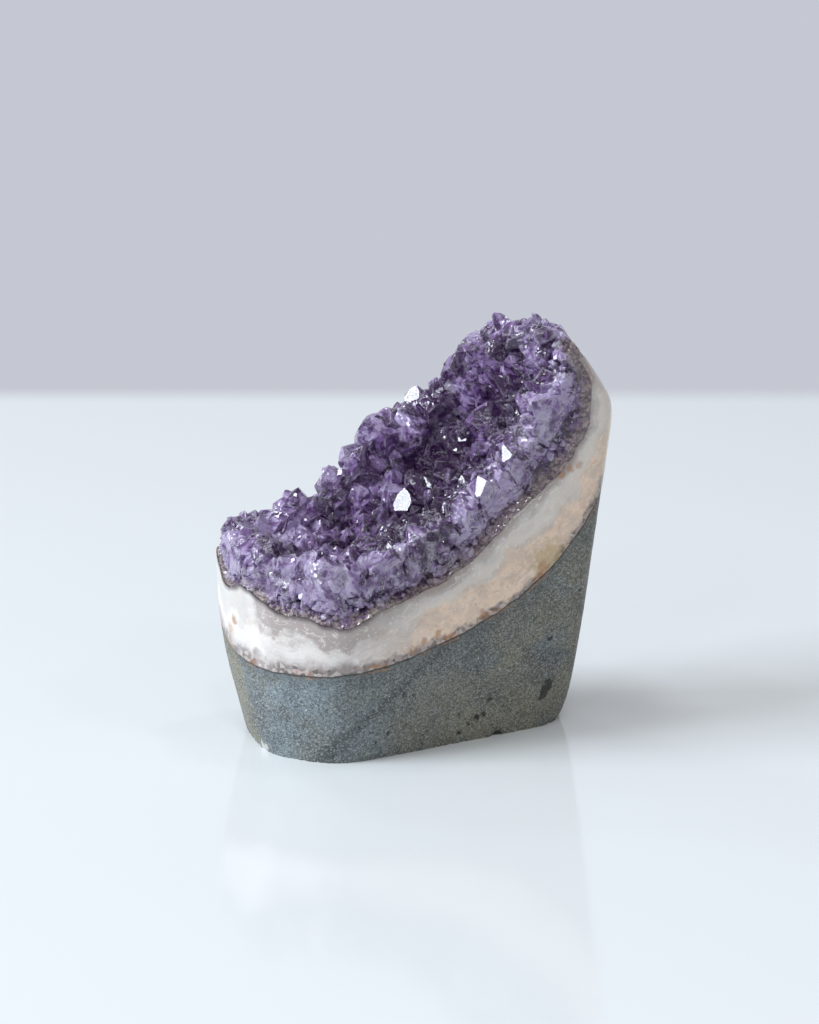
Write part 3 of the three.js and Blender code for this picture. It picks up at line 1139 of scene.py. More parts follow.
def is_large(crystal):
    """Whether small crystals grow on this one: not on those that mirror the window."""
    seed = crystal[4]
    return seed < len(MAIN_CRYSTALS) or FIELD_CRYSTALS[0][7] <= seed < SMALL_FROM


# Finishes


class Nodes:
    """Short calls for the nodes that the finishes are made of."""

    def __init__(self, tree):
        self.tree = tree

    def feed(self, socket, value):
        if isinstance(value, bpy.types.NodeSocket):
            self.tree.links.new(value, socket)
        elif socket.type == "RGBA":
            socket.default_value = (*value[:3], 1)
        else:
            socket.default_value = value

    def add(self, kind, inputs=None, **settings):
        made = self.tree.nodes.new(kind)
        for name, value in settings.items():
            setattr(made, name, value)
        for name, value in (inputs or {}).items():
            self.feed(made.inputs[name], value)
        return made

    def math(self, operation, *values, clamp=False):
        made = self.tree.nodes.new("ShaderNodeMath")
        made.operation = operation
        made.use_clamp = clamp
        for socket, value in zip(made.inputs, values):
            self.feed(socket, value)
        return made.outputs[0]

    def vectors(self, operation, first, second):
        return self.add("ShaderNodeVectorMath", {0: first, 1: second}, operation=operation)

    def times(self, *values):
        """The product of one or more values."""
        total = values[0]
        for value in values[1:]:
            total = self.math("MULTIPLY", total, value)
        return total

    def mix(self, share, first, second):
        made = self.tree.nodes.new("ShaderNodeMix")
        made.data_type = "RGBA"
        for socket, value in zip((made.inputs[0], made.inputs[6], made.inputs[7]), (share, first, second)):
            self.feed(socket, value)
        return made.outputs[2]

    def lay(self, colour, tone, *shares):
        """A tone laid over a colour, by the product of some shares."""
        return self.mix(self.times(*shares), colour, tone)

    def ramp(self, value, start, end, low=0.0, high=1.0):
        """A smooth run from low to high as the value goes from start to end."""
        made = self.add("ShaderNodeMapRange", {
            "Value": value, "From Min": start, "From Max": end, "To Min": low, "To Max": high,
        })
        made.interpolation_type = "SMOOTHSTEP"
        return made.outputs["Result"]

    def mark(self, name):
        return self.add("ShaderNodeAttribute", attribute_name=name).outputs["Fac"]

    def place(self):
        return self.add("ShaderNodeTexCoord").outputs["Object"]

    def along(self, axis):
        """How far along +X, +Y or +Z each point of the surface is."""
        return self.add("ShaderNodeSeparateXYZ", {0: self.place()}).outputs[axis]

    def noise(self, size, detail=4.0, roughness=0.55, distortion=0.0):
        return self.add("ShaderNodeTexNoise", {
            "Vector": self.place(), "Scale": 1 / size, "Detail": detail,
            "Roughness": roughness, "Distortion": distortion,
        }).outputs["Fac"]

    def waves(self, size, strength, detail=4.0):
        """Noise about 0."""
        return self.times(self.math("SUBTRACT", self.noise(size, detail), 0.5), strength)

    def grains(self, size):
        """A number from 0 to 1 for each grain."""
        found = self.add("ShaderNodeTexVoronoi", {"Vector": self.place(), "Scale": 1 / size})
        colour = found.outputs["Color"]
        return self.add("ShaderNodeSeparateColor", {0: colour}).outputs["Red"]

    def left_face(self, turned):
        """The ground faces at the stone's left end, up to where the wall has turned so far."""
        normal = self.add("ShaderNodeTexCoord").outputs["Normal"]
        return self.ramp(self.add("ShaderNodeSeparateXYZ", {0: normal}).outputs["X"], turned, turned - 0.05)

    def near(self, place, radius, rough=0.0):
        """A soft spot about a place given in millimetres."""
        spot = self.vectors("DISTANCE", self.place(), np.array(place) * MM)
        far = self.math("DIVIDE", spot.outputs["Value"], radius * MM)
        if rough:
            far = self.math("ADD", far, self.ramp(self.noise(0.0015), 0.25, 0.75, -rough, rough))
        return self.ramp(far, 1.0, 0.35)

    def use(self, group, **inputs):
        made = self.add("ShaderNodeGroup", node_tree=group)
        for name, value in inputs.items():
            self.feed(made.inputs[name], value)
        return made.outputs[0]

    def bump(self, height, distance, strength=1.0):
        return self.add(
            "ShaderNodeBump", {"Height": height, "Distance": distance, "Strength": strength}
        ).outputs["Normal"]


def shared_group(name, inputs, fill):
    """A node group with named number inputs and one number as its output, made only once."""
    if name not in bpy.data.node_groups:
        group = bpy.data.node_groups.new(name, "ShaderNodeTree")
        for label, value in inputs:
            socket = group.interface.new_socket(label, in_out="INPUT", socket_type="NodeSocketFloat")
            socket.default_value = value
        group.interface.new_socket("Mask", in_out="OUTPUT", socket_type="NodeSocketFloat")
        nodes = Nodes(group)
        filled = fill(nodes, nodes.add("NodeGroupInput").outputs)
        nodes.feed(nodes.add("NodeGroupOutput").inputs[0], filled)
    return bpy.data.node_groups[name]


def fill_patches(nodes, given):
    moved = nodes.vectors("ADD", nodes.place(), given["Shift"])
    cloud = nodes.add("ShaderNodeTexNoise", {
        "Vector": moved.outputs[0], "Scale": nodes.math("DIVIDE", 1.0, given["Size"]),
        "Detail": 5.0, "Roughness": 0.6, "Distortion": 0.4,
    })
    edge = nodes.ramp(given["Cover"], 0.0, 1.0, 0.75, 0.25)
    start = nodes.math("SUBTRACT", edge, given["Softness"])
    end = nodes.math("ADD", edge, given["Softness"])
    return nodes.ramp(cloud.outputs["Fac"], start, end)


def patches_group():
    """Soft-edged patches of a size, covering a share of the surface."""
    inputs = (("Size", 0.01), ("Cover", 0.5), ("Softness", 0.1), ("Shift", 0.0))
    return shared_group("stone patches", inputs, fill_patches)


def fill_seam_line(nodes, given):
    cloud = nodes.add("ShaderNodeTexNoise", {
        "Vector": nodes.place(), "Scale": nodes.math("DIVIDE", 1.0, given["Size"]),
        "Detail": 4.0, "Roughness": 0.6,
    })
    wave = nodes.times(nodes.math("SUBTRACT", cloud.outputs["Fac"], 0.5), given["Waviness"])
    away = nodes.math("SUBTRACT", nodes.math("ADD", given["Depth"], wave), given["At"])
    away = nodes.math("DIVIDE", nodes.math("ABSOLUTE", away), given["Width"])
    return nodes.ramp(away, 1.0, 0.0)


def seam_line_group():
    """A wavy line along a layer, where a depth passes a value."""
    inputs = (("Depth", 0.0), ("At", 0.0), ("Width", 0.1), ("Waviness", 0.1), ("Size", 0.003))
    return shared_group("seam line", inputs, fill_seam_line)


def fill_facets(nodes, given):
    found = nodes.add("ShaderNodeTexVoronoi", {
        "Vector": nodes.place(), "Scale": nodes.math("DIVIDE", 1.0, given["Size"]),
    }).outputs
    away = nodes.vectors("SUBTRACT", nodes.place(), found["Position"]).outputs[0]
    tilt = nodes.vectors("SUBTRACT", found["Color"], (0.5, 0.5, 0.5)).outputs[0]
    return nodes.vectors("DOT_PRODUCT", away, tilt).outputs["Value"]


def facets_group():
    """The height of small flat facets, each tilted its own way, in metres."""
    return shared_group("small facets", (("Size", 0.001),), fill_facets)


def new_material(name, **settings):
    """A material with one Principled shader, and the plain values of its sockets."""
    material = bpy.data.materials.new(name)
    material.use_nodes = True
    shader = material.node_tree.nodes["Principled BSDF"]
    for label, value in settings.items():
        shader.inputs[label.replace("_", " ")].default_value = value
    return material, Nodes(material.node_tree), shader.inputs


# Tones laid over the colours of each mineral.
BASALT_TONES = {
    "pale": (0.22, 0.30, 0.36),
    "shadowy": (0.07, 0.08, 0.088),
    "saw marks": (0.06, 0.065, 0.07),
    "dark band": (0.045, 0.05, 0.055),
    "pale grains": (0.46, 0.50, 0.50),
    "dark grains": (0.018, 0.022, 0.022),
    "dark mottle": (0.045, 0.05, 0.05),
    "pale mottle": (0.32, 0.35, 0.34),
    "white specks": (0.66, 0.66, 0.62),
    "shade": (0.075, 0.08, 0.08),
    "seam": (0.02, 0.02, 0.02),
    "broken corner": (0.62, 0.62, 0.60),
    # Painted shade in the pits.
    "pits": (0.012, 0.012, 0.012),
}
AGATE_TONES = {
    "left end": (0.74, 0.72, 0.69),
    "cloud": (0.82, 0.79, 0.765),
    "cream": (0.76, 0.69, 0.62),
    "dusk": (0.37, 0.30, 0.27),
    "pale bands": (0.86, 0.81, 0.76),
    "dark bands": (0.44, 0.36, 0.31),
    "brown spots": (0.64, 0.42, 0.26),
    "white specks": (0.90, 0.86, 0.82),
    "head": (0.10, 0.075, 0.08),
    "dark quartz": (0.07, 0.055, 0.055),
    "pale quartz": (0.52, 0.44, 0.42),
    "ochre": (0.48, 0.34, 0.14),
    "seam": (0.03, 0.024, 0.02),
}
AMETHYST_TONES = {
    "dark sand": (0.20, 0.14, 0.15),
    "pale sand": (0.78, 0.66, 0.58),
    "seam": (0.06, 0.045, 0.055),
    "polished end": (0.56, 0.55, 0.62),
}


def basalt_patches(nodes, colours):
    """Grey, olive, pale and dark patches, with saw marks and a dark band from corner to corner."""
    across, up = nodes.along("X"), nodes.along("Z")
    rightwards = nodes.ramp(nodes.math("SUBTRACT", across, up), -0.035, 0.015, 0.15, 1.0)
    olive = nodes.use(patches_group(), Size=0.014, Cover=0.66, Softness=0.10)
    left = nodes.left_face(-0.82)
    olive = nodes.math("MAXIMUM", nodes.times(olive, rightwards), left)
    colour = nodes.mix(olive, colours.basalt_grey, colours.basalt_olive)
    pale = nodes.use(patches_group(), Size=0.013, Cover=0.56, Softness=0.12, Shift=0.4)
    leftwards = nodes.ramp(across, 0.006, -0.022, 0.15, 1.0)
    pale = nodes.times(pale, leftwards, nodes.math("SUBTRACT", 1.0, left))
    colour = nodes.lay(colour, BASALT_TONES["pale"], pale, 0.6)
    shadowy = nodes.use(patches_group(), Size=0.010, Cover=0.45, Softness=0.12, Shift=0.7)
    colour = nodes.lay(colour, BASALT_TONES["shadowy"], shadowy, 0.6)
    turned = nodes.add("ShaderNodeMapping", {0: nodes.place(), "Rotation": (0.0, math.radians(48), 0.0)})
    hatch = nodes.add("ShaderNodeTexWave", {
        "Vector": turned.outputs[0], "Scale": 260.0, "Distortion": 1.5, "Detail": 2.0,
    }).outputs["Fac"]
    sawn = nodes.use(patches_group(), Size=0.012, Cover=0.5, Softness=0.15, Shift=0.6)
    colour = nodes.lay(colour, BASALT_TONES["saw marks"], nodes.ramp(hatch, 0.6, 0.2), sawn, 0.3)
    line = nodes.math("SUBTRACT", up, nodes.math("MULTIPLY_ADD", across, 0.84, 0.0150))
    band = nodes.use(seam_line_group(), Depth=line, At=0.0, Width=0.0026, Waviness=0.0022, Size=0.004)
    fades = nodes.ramp(across, 0.020, 0.008)
    return nodes.lay(colour, BASALT_TONES["dark band"], band, fades, 0.65)


def basalt_grains(nodes, colour, grain):
    """Fine pale and dark grains, mottle and white specks."""
    tones = BASALT_TONES
    colour = nodes.mix(nodes.ramp(grain, 0.60, 1.0, 0.0, 0.5), colour, tones["pale grains"])
    colour = nodes.mix(nodes.ramp(grain, 0.42, 0.0, 0.0, 0.6), colour, tones["dark grains"])
    mottle = nodes.noise(0.0005, detail=4.0, roughness=0.7)
    colour = nodes.mix(nodes.ramp(mottle, 0.52, 0.66, 0.0, 0.4), colour, tones["dark mottle"])
    colour = nodes.mix(nodes.ramp(mottle, 0.48, 0.34, 0.0, 0.3), colour, tones["pale mottle"])
    specks = nodes.ramp(nodes.noise(0.0007, detail=1.0), 0.74, 0.78)
    return nodes.lay(colour, tones["white specks"], specks, 0.8)


def basalt_stains(nodes, colour, colours):
    """The dark seam and its rust, the broken corner, and painted shade in the pits."""
    below = nodes.mark("below_seam")
    shade = nodes.ramp(below, 4.0, 0.0, 0.0, 0.35)
    colour = nodes.mix(shade, colour, BASALT_TONES["shade"])
    dark = nodes.use(seam_line_group(), Depth=below, At=0.0, Width=0.5, Waviness=0.4, Size=0.002)
    colour = nodes.lay(colour, BASALT_TONES["seam"], dark, 0.85)
    rust = nodes.use(seam_line_group(), Depth=below, At=0.5, Width=0.35, Waviness=1.4, Size=0.003)
    stained = nodes.use(patches_group(), Size=0.006, Cover=0.45, Softness=0.06, Shift=0.8)
    colour = nodes.lay(colour, colours.rust, rust, stained, 0.6)
    broken = nodes.near((-28.7, -15.9, 0.2), 1.8, 0.6)
    colour = nodes.lay(colour, BASALT_TONES["broken corner"], broken, 0.8)
    # Painted shade in the pits: nearly black where they are deepest.
    pit = nodes.ramp(nodes.mark("pit"), 0.1, 0.6)
    return nodes.lay(colour, BASALT_TONES["pits"], pit, 0.85)


def basalt_finish(colours):
    material, nodes, shader = new_material("basalt, fine ground", IOR=1.5)
    grain = nodes.grains(0.00027)
    colour = basalt_grains(nodes, basalt_patches(nodes, colours), grain)
    nodes.feed(shader["Base Color"], basalt_stains(nodes, colour, colours))
    nodes.feed(shader["Roughness"], nodes.ramp(grain, 0.0, 1.0, 0.62, 0.42))
    height = nodes.math("ADD", grain, nodes.noise(0.0009))
    nodes.feed(shader["Normal"], nodes.bump(height, 0.00007, 0.6))
    return material


def agate_layers(nodes, colours, depth, wave, rightwards, left, main):
    """Milky layers, warm at the right and smoky towards the amethyst, with brown spots at the right."""
    waved = nodes.math("ADD", depth, nodes.times(wave, 0.7))
    leftwards = nodes.math("SUBTRACT", 1.0, rightwards)
    colour = nodes.mix(left, colours.agate_white, AGATE_TONES["left end"])
    warm = nodes.ramp(nodes.math("ADD", waved, nodes.times(wave, 0.4)), 0.70, 0.45)
    colour = nodes.lay(colour, colours.agate_peach, warm, rightwards, 0.85)
    haze = nodes.use(patches_group(), Size=0.005, Cover=0.5, Softness=0.10, Shift=0.5)
    colour = nodes.lay(colour, colours.agate_smoke, haze, main, 0.3)
    cloud = nodes.use(seam_line_group(), Depth=depth, At=0.40, Width=0.26, Waviness=0.6, Size=0.005)
    colour = nodes.lay(colour, AGATE_TONES["cloud"], cloud, leftwards, 0.6)
    smoke = nodes.ramp(nodes.math("ADD", depth, nodes.waves(0.0045, 1.1)), 0.54, 0.66, 0.0, 0.8)
    colour = nodes.lay(colour, colours.agate_smoke, smoke, leftwards, main)
    cream = nodes.use(seam_line_group(), Depth=waved, At=0.70, Width=0.22, Waviness=0.3, Size=0.004)
    colour = nodes.lay(colour, AGATE_TONES["cream"], cream, rightwards, 0.8)
    dusk = nodes.ramp(waved, 0.80, 1.0, 0.0, 0.85)
    colour = nodes.lay(colour, AGATE_TONES["dusk"], dusk, rightwards)
    colour = agate_bands(nodes, colour, depth, wave, main)
    spots = nodes.ramp(nodes.noise(0.0013, detail=6.0, roughness=0.75), 0.54, 0.62)
    return nodes.lay(colour, AGATE_TONES["brown spots"], spots, warm, rightwards, 0.55)


def agate_bands(nodes, colour, depth, wave, main):
    """Fine pale and dark bands along the layers."""
    lining = nodes.math("MULTIPLY_ADD", depth, 5.0, nodes.times(wave, 3.5))
    strip = nodes.add("ShaderNodeCombineXYZ", {"X": lining, "Y": nodes.times(nodes.along("X"), 20.0)})
    bands = nodes.add("ShaderNodeTexNoise", {
        "Vector": strip.outputs[0], "Scale": 2.6, "Detail": 4.0, "Roughness": 0.65,
    }).outputs["Fac"]
    colour = nodes.lay(colour, AGATE_TONES["pale bands"], nodes.ramp(bands, 0.56, 0.66), main, 0.45)
    return nodes.lay(colour, AGATE_TONES["dark bands"], nodes.ramp(bands, 0.46, 0.36), main, 0.25)


def agate_head(nodes, colour, across, main):
    """White specks, and the dark edge next to the amethyst."""
    specks = nodes.ramp(nodes.noise(0.0009, detail=4.0, roughness=0.7), 0.58, 0.64)
    colour = nodes.lay(colour, AGATE_TONES["white specks"], specks, main, 0.5)
    below = nodes.mark("below_head")
    head = nodes.use(seam_line_group(), Depth=below, At=0.0, Width=1.2, Waviness=1.2, Size=0.003)
    edging = nodes.ramp(across, 0.004, -0.010, 0.2, 0.85)
    return nodes.lay(colour, AGATE_TONES["head"], head, edging)


def agate_foot(nodes, colour, colours, across):
    """The quartz edge next to the basalt, its ochre and rust, and the dark seam."""
    above = nodes.mark("above_foot")
    wavy = nodes.math("ADD", above, nodes.waves(0.004, 4.5))
    quartz = nodes.ramp(wavy, nodes.ramp(across, 0.002, -0.02, 2.0, 4.4), 0.9)
    grainy = nodes.mix(nodes.grains(0.0009), AGATE_TONES["dark quartz"], AGATE_TONES["pale quartz"])
    colour = nodes.lay(colour, grainy, quartz, 0.9)
    ochre = nodes.near((32.6, -6.2, 39.5), 6.0, 0.3)
    colour = nodes.lay(colour, AGATE_TONES["ochre"], ochre, 0.6)
    stain = nodes.use(seam_line_group(), Depth=above, At=0.6, Width=0.9, Waviness=1.6, Size=0.003)
    stained = nodes.use(patches_group(), Size=0.006, Cover=0.42, Softness=0.07, Shift=0.8)
    colour = nodes.lay(colour, colours.rust, stain, stained, 0.8)
    for place, size, strength in RUST_SPOTS:
        colour = nodes.lay(colour, colours.rust, nodes.near(place, size, 0.35), strength)
    line = nodes.use(seam_line_group(), Depth=above, At=0.0, Width=0.22, Waviness=0.1, Size=0.002)
    return nodes.lay(colour, AGATE_TONES["seam"], line, 0.8)


def agate_finish(colours):
    material, nodes, shader = new_material(
        "agate, polished", Roughness=0.18, IOR=1.54, Subsurface_Weight=0.15, Subsurface_Scale=0.003
    )
    across = nodes.along("X")
    wave = nodes.waves(0.009, 1.0, detail=5.0)
    left = nodes.left_face(-0.56)
    main = nodes.math("SUBTRACT", 1.0, nodes.times(left, 0.7))
    rightwards = nodes.ramp(across, -0.012, 0.010)
    colour = agate_layers(nodes, colours, nodes.mark("depth"), wave, rightwards, left, main)
    colour = agate_head(nodes, colour, across, main)
    nodes.feed(shader["Base Color"], agate_foot(nodes, colour, colours, across))
    nodes.feed(shader["Normal"], nodes.bump(nodes.noise(0.0012), 0.00003, 0.3))
    return material


def amethyst_body(nodes, colours, tone, bowl):
    """Lavender, violet and plum by each crystal's own tone, with painted shade deep in the bowl and low
    between the crystals and painted light towards their tips.
    """
    climb = nodes.mark("climb")
    wisps = nodes.noise(0.0045, detail=5.0, roughness=0.65, distortion=1.4)
    # The crystals' own tone, with painted shade: darker the deeper a point lies in the bowl, away from the
    # wall.
    deep = nodes.math("MULTIPLY_ADD", tone, 0.75, nodes.times(bowl, 0.35))
    # Painted light and shade: paler up each crystal towards its tip, darker low between the crystals.
    deep = nodes.math("ADD", deep, nodes.ramp(climb, 2.5, -1.0, -0.25, 0.35))
    deep = nodes.math("MULTIPLY_ADD", nodes.grains(0.0026), 0.35, deep)
    deep = nodes.math("MULTIPLY_ADD", nodes.grains(0.0009), 0.12, deep)
    deep = nodes.math("ADD", deep, nodes.ramp(wisps, 0.40, 0.60, 0.30, -0.35))
    # Zones of tone, partly painted shade in the deep valley and painted light towards the rims.
    for place, size, change in TONE_AND_SHADE_ZONES:
        deep = nodes.math("MULTIPLY_ADD", nodes.near(place, size), change, deep)
    colour = nodes.mix(nodes.ramp(deep, 0.0, 0.5), colours.amethyst_pale, colours.amethyst_violet)
    return nodes.mix(nodes.ramp(deep, 0.4, 1.0), colour, colours.amethyst_deep)


def amethyst_wear(nodes, bowl, cloud, patch):
    """Masks of the worn edges of the crystals and of the frost specks on them: partly frost, and partly a
    painted highlight along the edges and painted sparkle in the specks.
    """
    open_side = nodes.ramp(bowl, 1.0, 0.0, 0.35, 1.0)
    fine = nodes.noise(0.0006, detail=3.0, roughness=0.7)
    worn = nodes.math("ADD", nodes.mark("inset"), nodes.ramp(fine, 0.3, 0.7, -0.35, 0.35))
    # Painted highlight along the crystal edges, partly frost: pale near each face's outline, most on the
    # open side.
    edge = nodes.times(nodes.ramp(worn, 0.5, 0.0), open_side, nodes.ramp(cloud, 0.42, 0.56))
    # Pale frost specks, partly frost and partly painted sparkle.
    rime_and_sparkle = nodes.ramp(nodes.noise(0.0007, detail=4.0, roughness=0.8), 0.52, 0.60)
    return edge, nodes.times(rime_and_sparkle, open_side, nodes.ramp(patch, 0.0, 1.0, 0.1, 0.9))


def amethyst_foot(nodes, colour, cloud, ground):
    """The sandy foot and the dark seam next to the agate, and the polished end at the right, its pale
    streaks partly a painted sheen.
    """
    depth, across = nodes.mark("depth"), nodes.along("X")
    foot = nodes.math("ADD", depth, nodes.ramp(cloud, 0.3, 0.7, -1.6, 1.6))
    reach = nodes.ramp(across, -0.01, 0.015, 2.2, 4.4)
    sandy = nodes.mix(nodes.grains(0.0006), AMETHYST_TONES["dark sand"], AMETHYST_TONES["pale sand"])
    colour = nodes.mix(nodes.ramp(foot, reach, 0.3, 0.0, 0.8), colour, sandy)
    line = nodes.use(seam_line_group(), Depth=depth, At=0.0, Width=0.5, Waviness=1.0, Size=0.002)
    left = nodes.ramp(across, 0.0, -0.012, 0.1, 0.8)
    colour = nodes.lay(colour, AMETHYST_TONES["seam"], line, left)
    # Pale grey streaks on the polished end at the right: partly the polished stone, partly a painted sheen.
    end = nodes.ramp(across, SMOOTH_END[0], SMOOTH_END[1])
    streaks = nodes.ramp(cloud, 0.3, 0.6, 0.3, 0.9)
    return nodes.lay(colour, AMETHYST_TONES["polished end"], end, ground, streaks)


def amethyst_relief(nodes, tone, patch):
    """The height of the small facets, in metres: nearly none on the faces that mirror the window."""
    broad = nodes.use(facets_group(), Size=0.0020)
    small = nodes.use(facets_group(), Size=0.0006)
    small = nodes.times(small, nodes.ramp(patch, 0.0, 1.0, 0.15, 0.9))
    height = nodes.math("MULTIPLY_ADD", broad, 0.36, small)
    return nodes.times(height, nodes.ramp(tone, 0.96, 0.92, 0.08, 1.0))


def amethyst_finish(habit, colours):
    material, nodes, shader = new_material("amethyst", IOR=1.544, Transmission_Weight=habit.clearness)
    tone, bowl, ground = nodes.mark("tone"), nodes.mark("bowl"), nodes.mark("ground")
    cloud = nodes.noise(0.0024, detail=6.0, roughness=0.7)
    patch = nodes.use(patches_group(), Size=0.005, Cover=0.46, Softness=0.08, Shift=0.3)
    edge, rime_and_sparkle = amethyst_wear(nodes, bowl, cloud, patch)
    colour = amethyst_body(nodes, colours, tone, bowl)
    # Whitish frost laid on the worn edges: partly frost, partly a painted highlight along the crystal
    # edges.
    colour = nodes.lay(colour, colours.amethyst_frost_and_highlight, edge, 0.65)
    # Pale frost specks, partly frost and partly painted sparkle.
    colour = nodes.lay(colour, colours.amethyst_frost_and_highlight, rime_and_sparkle, 0.6)
    nodes.feed(shader["Base Color"], amethyst_foot(nodes, colour, cloud, ground))

    rough = nodes.math("MULTIPLY_ADD", nodes.math("MAXIMUM", edge, rime_and_sparkle), 0.22, 0.02)
    nodes.feed(shader["Roughness"], nodes.math("MULTIPLY_ADD", ground, 0.04, rough))
    nodes.feed(shader["Normal"], nodes.bump(amethyst_relief(nodes, tone, patch), 1.0, 1.0))
    tint = nodes.add("ShaderNodeVolumeAbsorption", {
        "Color": colours.amethyst_depth, "Density": habit.absorption,
    })
    nodes.feed(material.node_tree.nodes["Material Output"].inputs["Volume"], tint.outputs["Volume"])
    return material


# Stage


FLOOR_EDGE = 331 * MM
FLOOR_FADE = 14 * MM
FLOOR_REACH = 3.0
AIM = (0.004, 0.0, 0.045)
CAMERA_ASIDE = 2.5 * MM
LENS = 100.0
SENSOR_WIDTH = 36.0

# The colours of the window's light and of the lights above and around.
WINDOW_COLOUR = (0.86, 0.93, 1.0)
PANEL_COLOUR = (0.90, 0.95, 1.0)

# Where the lights stand, in metres, and how wide and high they are.
WINDOW = ((-1.90, -0.44, 1.05), (0.95, 0.75))
PANEL = ((-0.50, -0.10, 2.30), (0.70, 0.50))
GLEAMS = (
    ((-0.75, 0.95, 1.15), (0.16, 0.12)),
    ((-0.25, -0.35, 1.60), (0.16, 0.16)),
    ((1.10, -0.70, 1.20), (0.14, 0.14)),
    ((-1.00, -1.20, 1.30), (0.16, 0.16)),
    ((-0.45, -1.10, 0.80), (0.12, 0.12)),
    ((0.45, 0.10, 1.50), (0.14, 0.14)),
    ((-1.35, 0.30, 0.85), (0.14, 0.14)),
    ((0.10, -0.80, 1.30), (0.14, 0.14)),
    ((-0.90, -0.30, 1.60), (0.16, 0.12)),
)


def add_floor(look):
    corners = [(-FLOOR_REACH, -FLOOR_REACH, 0), (FLOOR_REACH, -FLOOR_REACH, 0),
               (FLOOR_REACH, FLOOR_EDGE + FLOOR_FADE, 0), (-FLOOR_REACH, FLOOR_EDGE + FLOOR_FADE, 0)]
    floor = new_piece("floor", np.array(corners), [(0, 1, 2, 3)])
    material, nodes, shader = new_material("pale floor", Roughness=0.10)
    shader["Base Color"].default_value = (*look.floor, 1)
    away = nodes.along("Y")
    fading = nodes.ramp(away, FLOOR_EDGE - FLOOR_FADE, FLOOR_EDGE + FLOOR_FADE, 1.0, 0.0)
    nodes.feed(shader["Alpha"], fading)
    floor.data.materials.append(material)


def add_sky(look):
    """The backdrop's colour for the camera, and soft light from all round for the stone."""
    world = bpy.data.worlds.new("studio")
    world.use_nodes = True
    nodes = Nodes(world.node_tree)
    light = world.node_tree.nodes["Background"]
    light.inputs["Color"].default_value = (*look.soft_light, 1)
    seen = nodes.add("ShaderNodeBackground", {"Color": look.backdrop})
    path = nodes.add("ShaderNodeLightPath").outputs
    plain = nodes.math("MAXIMUM", path["Is Camera Ray"], path["Is Glossy Ray"])
    mixed = nodes.add("ShaderNodeMixShader", {0: plain, 1: light.outputs[0], 2: seen.outputs[0]})
    output = world.node_tree.nodes["World Output"]
    world.node_tree.links.new(mixed.outputs[0], output.inputs["Surface"])
    bpy.context.scene.world = world


def add_light(name, place, size, power, colour):
    lamp = bpy.data.lights.new(name, "AREA")
    lamp.shape = "RECTANGLE"
    lamp.size, lamp.size_y = size
    lamp.energy = power
    lamp.color = colour
    light = bpy.data.objects.new(name, lamp)
    light.location = place
    light.rotation_euler = (Vector(AIM) - Vector(place)).to_track_quat("-Z", "Y").to_euler()
    bpy.context.scene.collection.objects.link(light)


def add_camera(look):
    lens = bpy.data.cameras.new("camera")
    lens.lens = LENS
    lens.sensor_width = SENSOR_WIDTH
    camera = bpy.data.objects.new("camera", lens)
    camera.location = (CAMERA_ASIDE, -look.camera_distance, look.camera_height)
    camera.rotation_euler = (math.pi / 2 - look.camera_pitch, 0, 0)
    bpy.context.scene.collection.objects.link(camera)
    bpy.context.scene.camera = camera


# Operators, panel and registration


class STONE_OT_add_basalt(bpy.types.Operator):
    """Adds the basalt foot with its saw-cut base, pits and chips."""

    bl_idname = "stone.add_basalt"
    bl_label = "Add Basalt"

    def execute(self, context):
        scene = context.scene
        add_basalt_piece(scene.stone_form, scene.stone_colours)
        return {"FINISHED"}


class STONE_OT_add_agate(bpy.types.Operator):
    """Adds the polished agate band."""

    bl_idname = "stone.add_agate"
    bl_label = "Add Agate"

    def execute(self, context):
        scene = context.scene
        add_agate_piece(scene.stone_form, scene.stone_colours)
        return {"FINISHED"}


class STONE_OT_add_amethyst(bpy.types.Operator):
    """Adds the crust of amethyst with all its crystals, as one closed piece."""

    bl_idname = "stone.add_amethyst"
    bl_label = "Add Amethyst"

    def execute(self, context):
        scene = context.scene
        add_amethyst_piece(scene.stone_form, scene.crystal_habit, scene.stone_colours)
        return {"FINISHED"}


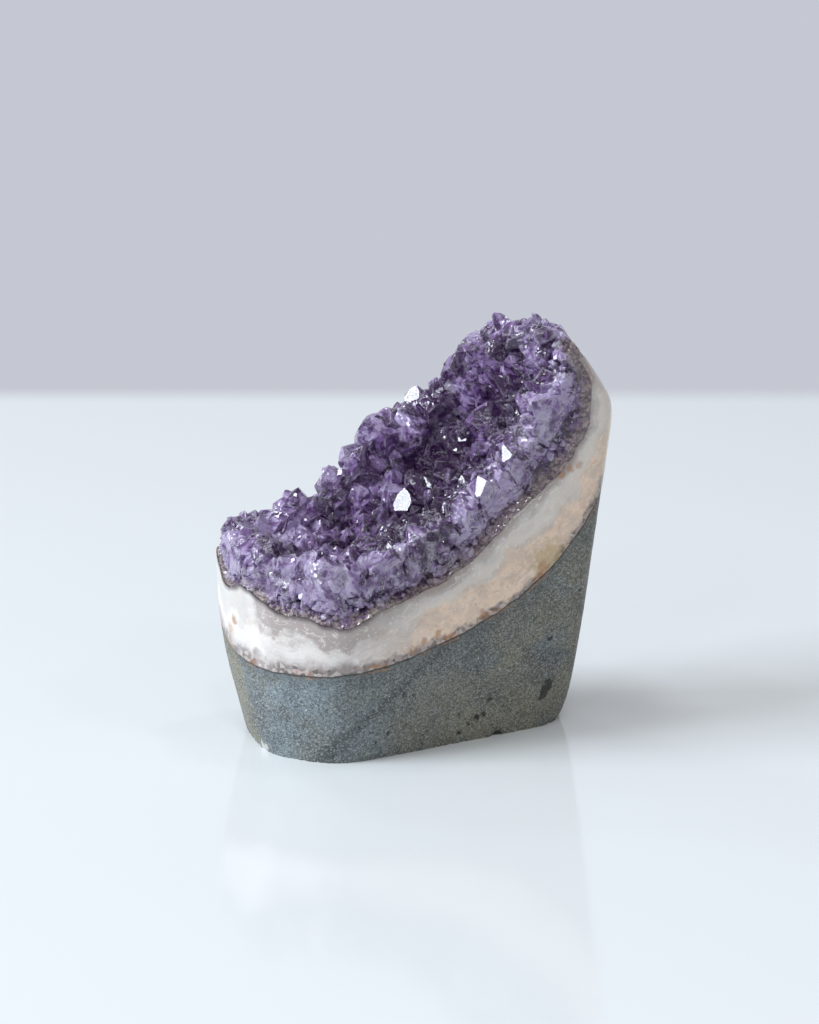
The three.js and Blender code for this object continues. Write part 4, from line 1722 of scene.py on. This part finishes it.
class STONE_OT_add_stage(bpy.types.Operator):
    """Adds the floor, the backdrop, the lights and the camera."""

    bl_idname = "stone.add_stage"
    bl_label = "Add Stage"

    def execute(self, context):
        look = context.scene.stage_look
        context.scene.view_settings.view_transform = "Standard"
        add_floor(look)
        add_sky(look)
        add_light("window", *WINDOW, look.window_power, WINDOW_COLOUR)
        add_light("panel", *PANEL, look.panel_power, PANEL_COLOUR)
        for number, gleam in enumerate(GLEAMS):
            add_light("gleam_%d" % number, *gleam, look.gleam_power, PANEL_COLOUR)
        add_camera(look)
        return {"FINISHED"}


class VIEW3D_PT_amethyst_freeform(bpy.types.Panel):
    """Lists the pieces of the stone, its sizes and its colours."""

    bl_label = "Amethyst Freeform"
    bl_space_type = "VIEW_3D"
    bl_region_type = "UI"
    bl_category = "Stone"

    def draw(self, context):
        layout = self.layout
        for operator in OPERATORS:
            layout.operator(operator.bl_idname)
        for group in (getattr(context.scene, name) for name in GROUPS):
            box = layout.box()
            for label in group.bl_rna.properties.keys():
                if label not in {"rna_type", "name"}:
                    box.prop(group, label)


OPERATORS = (STONE_OT_add_basalt, STONE_OT_add_agate, STONE_OT_add_amethyst, STONE_OT_add_stage)
GROUPS = {
    "stone_form": StoneForm,
    "crystal_habit": CrystalHabit,
    "stone_colours": StoneColours,
    "stage_look": StageLook,
}


def register():
    for group in GROUPS.values():
        bpy.utils.register_class(group)
    for operator in OPERATORS:
        bpy.utils.register_class(operator)
    bpy.utils.register_class(VIEW3D_PT_amethyst_freeform)
    for name, group in GROUPS.items():
        setattr(bpy.types.Scene, name, PointerProperty(type=group))


def unregister():
    for name in GROUPS:
        delattr(bpy.types.Scene, name)
    bpy.utils.unregister_class(VIEW3D_PT_amethyst_freeform)
    for operator in reversed(OPERATORS):
        bpy.utils.unregister_class(operator)
    for group in reversed(GROUPS.values()):
        bpy.utils.unregister_class(group)


def main():
    register()
    bpy.ops.stone.add_basalt()
    bpy.ops.stone.add_agate()
    bpy.ops.stone.add_amethyst()
    bpy.ops.stone.add_stage()
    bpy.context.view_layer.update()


if __name__ == "__main__":
    main()
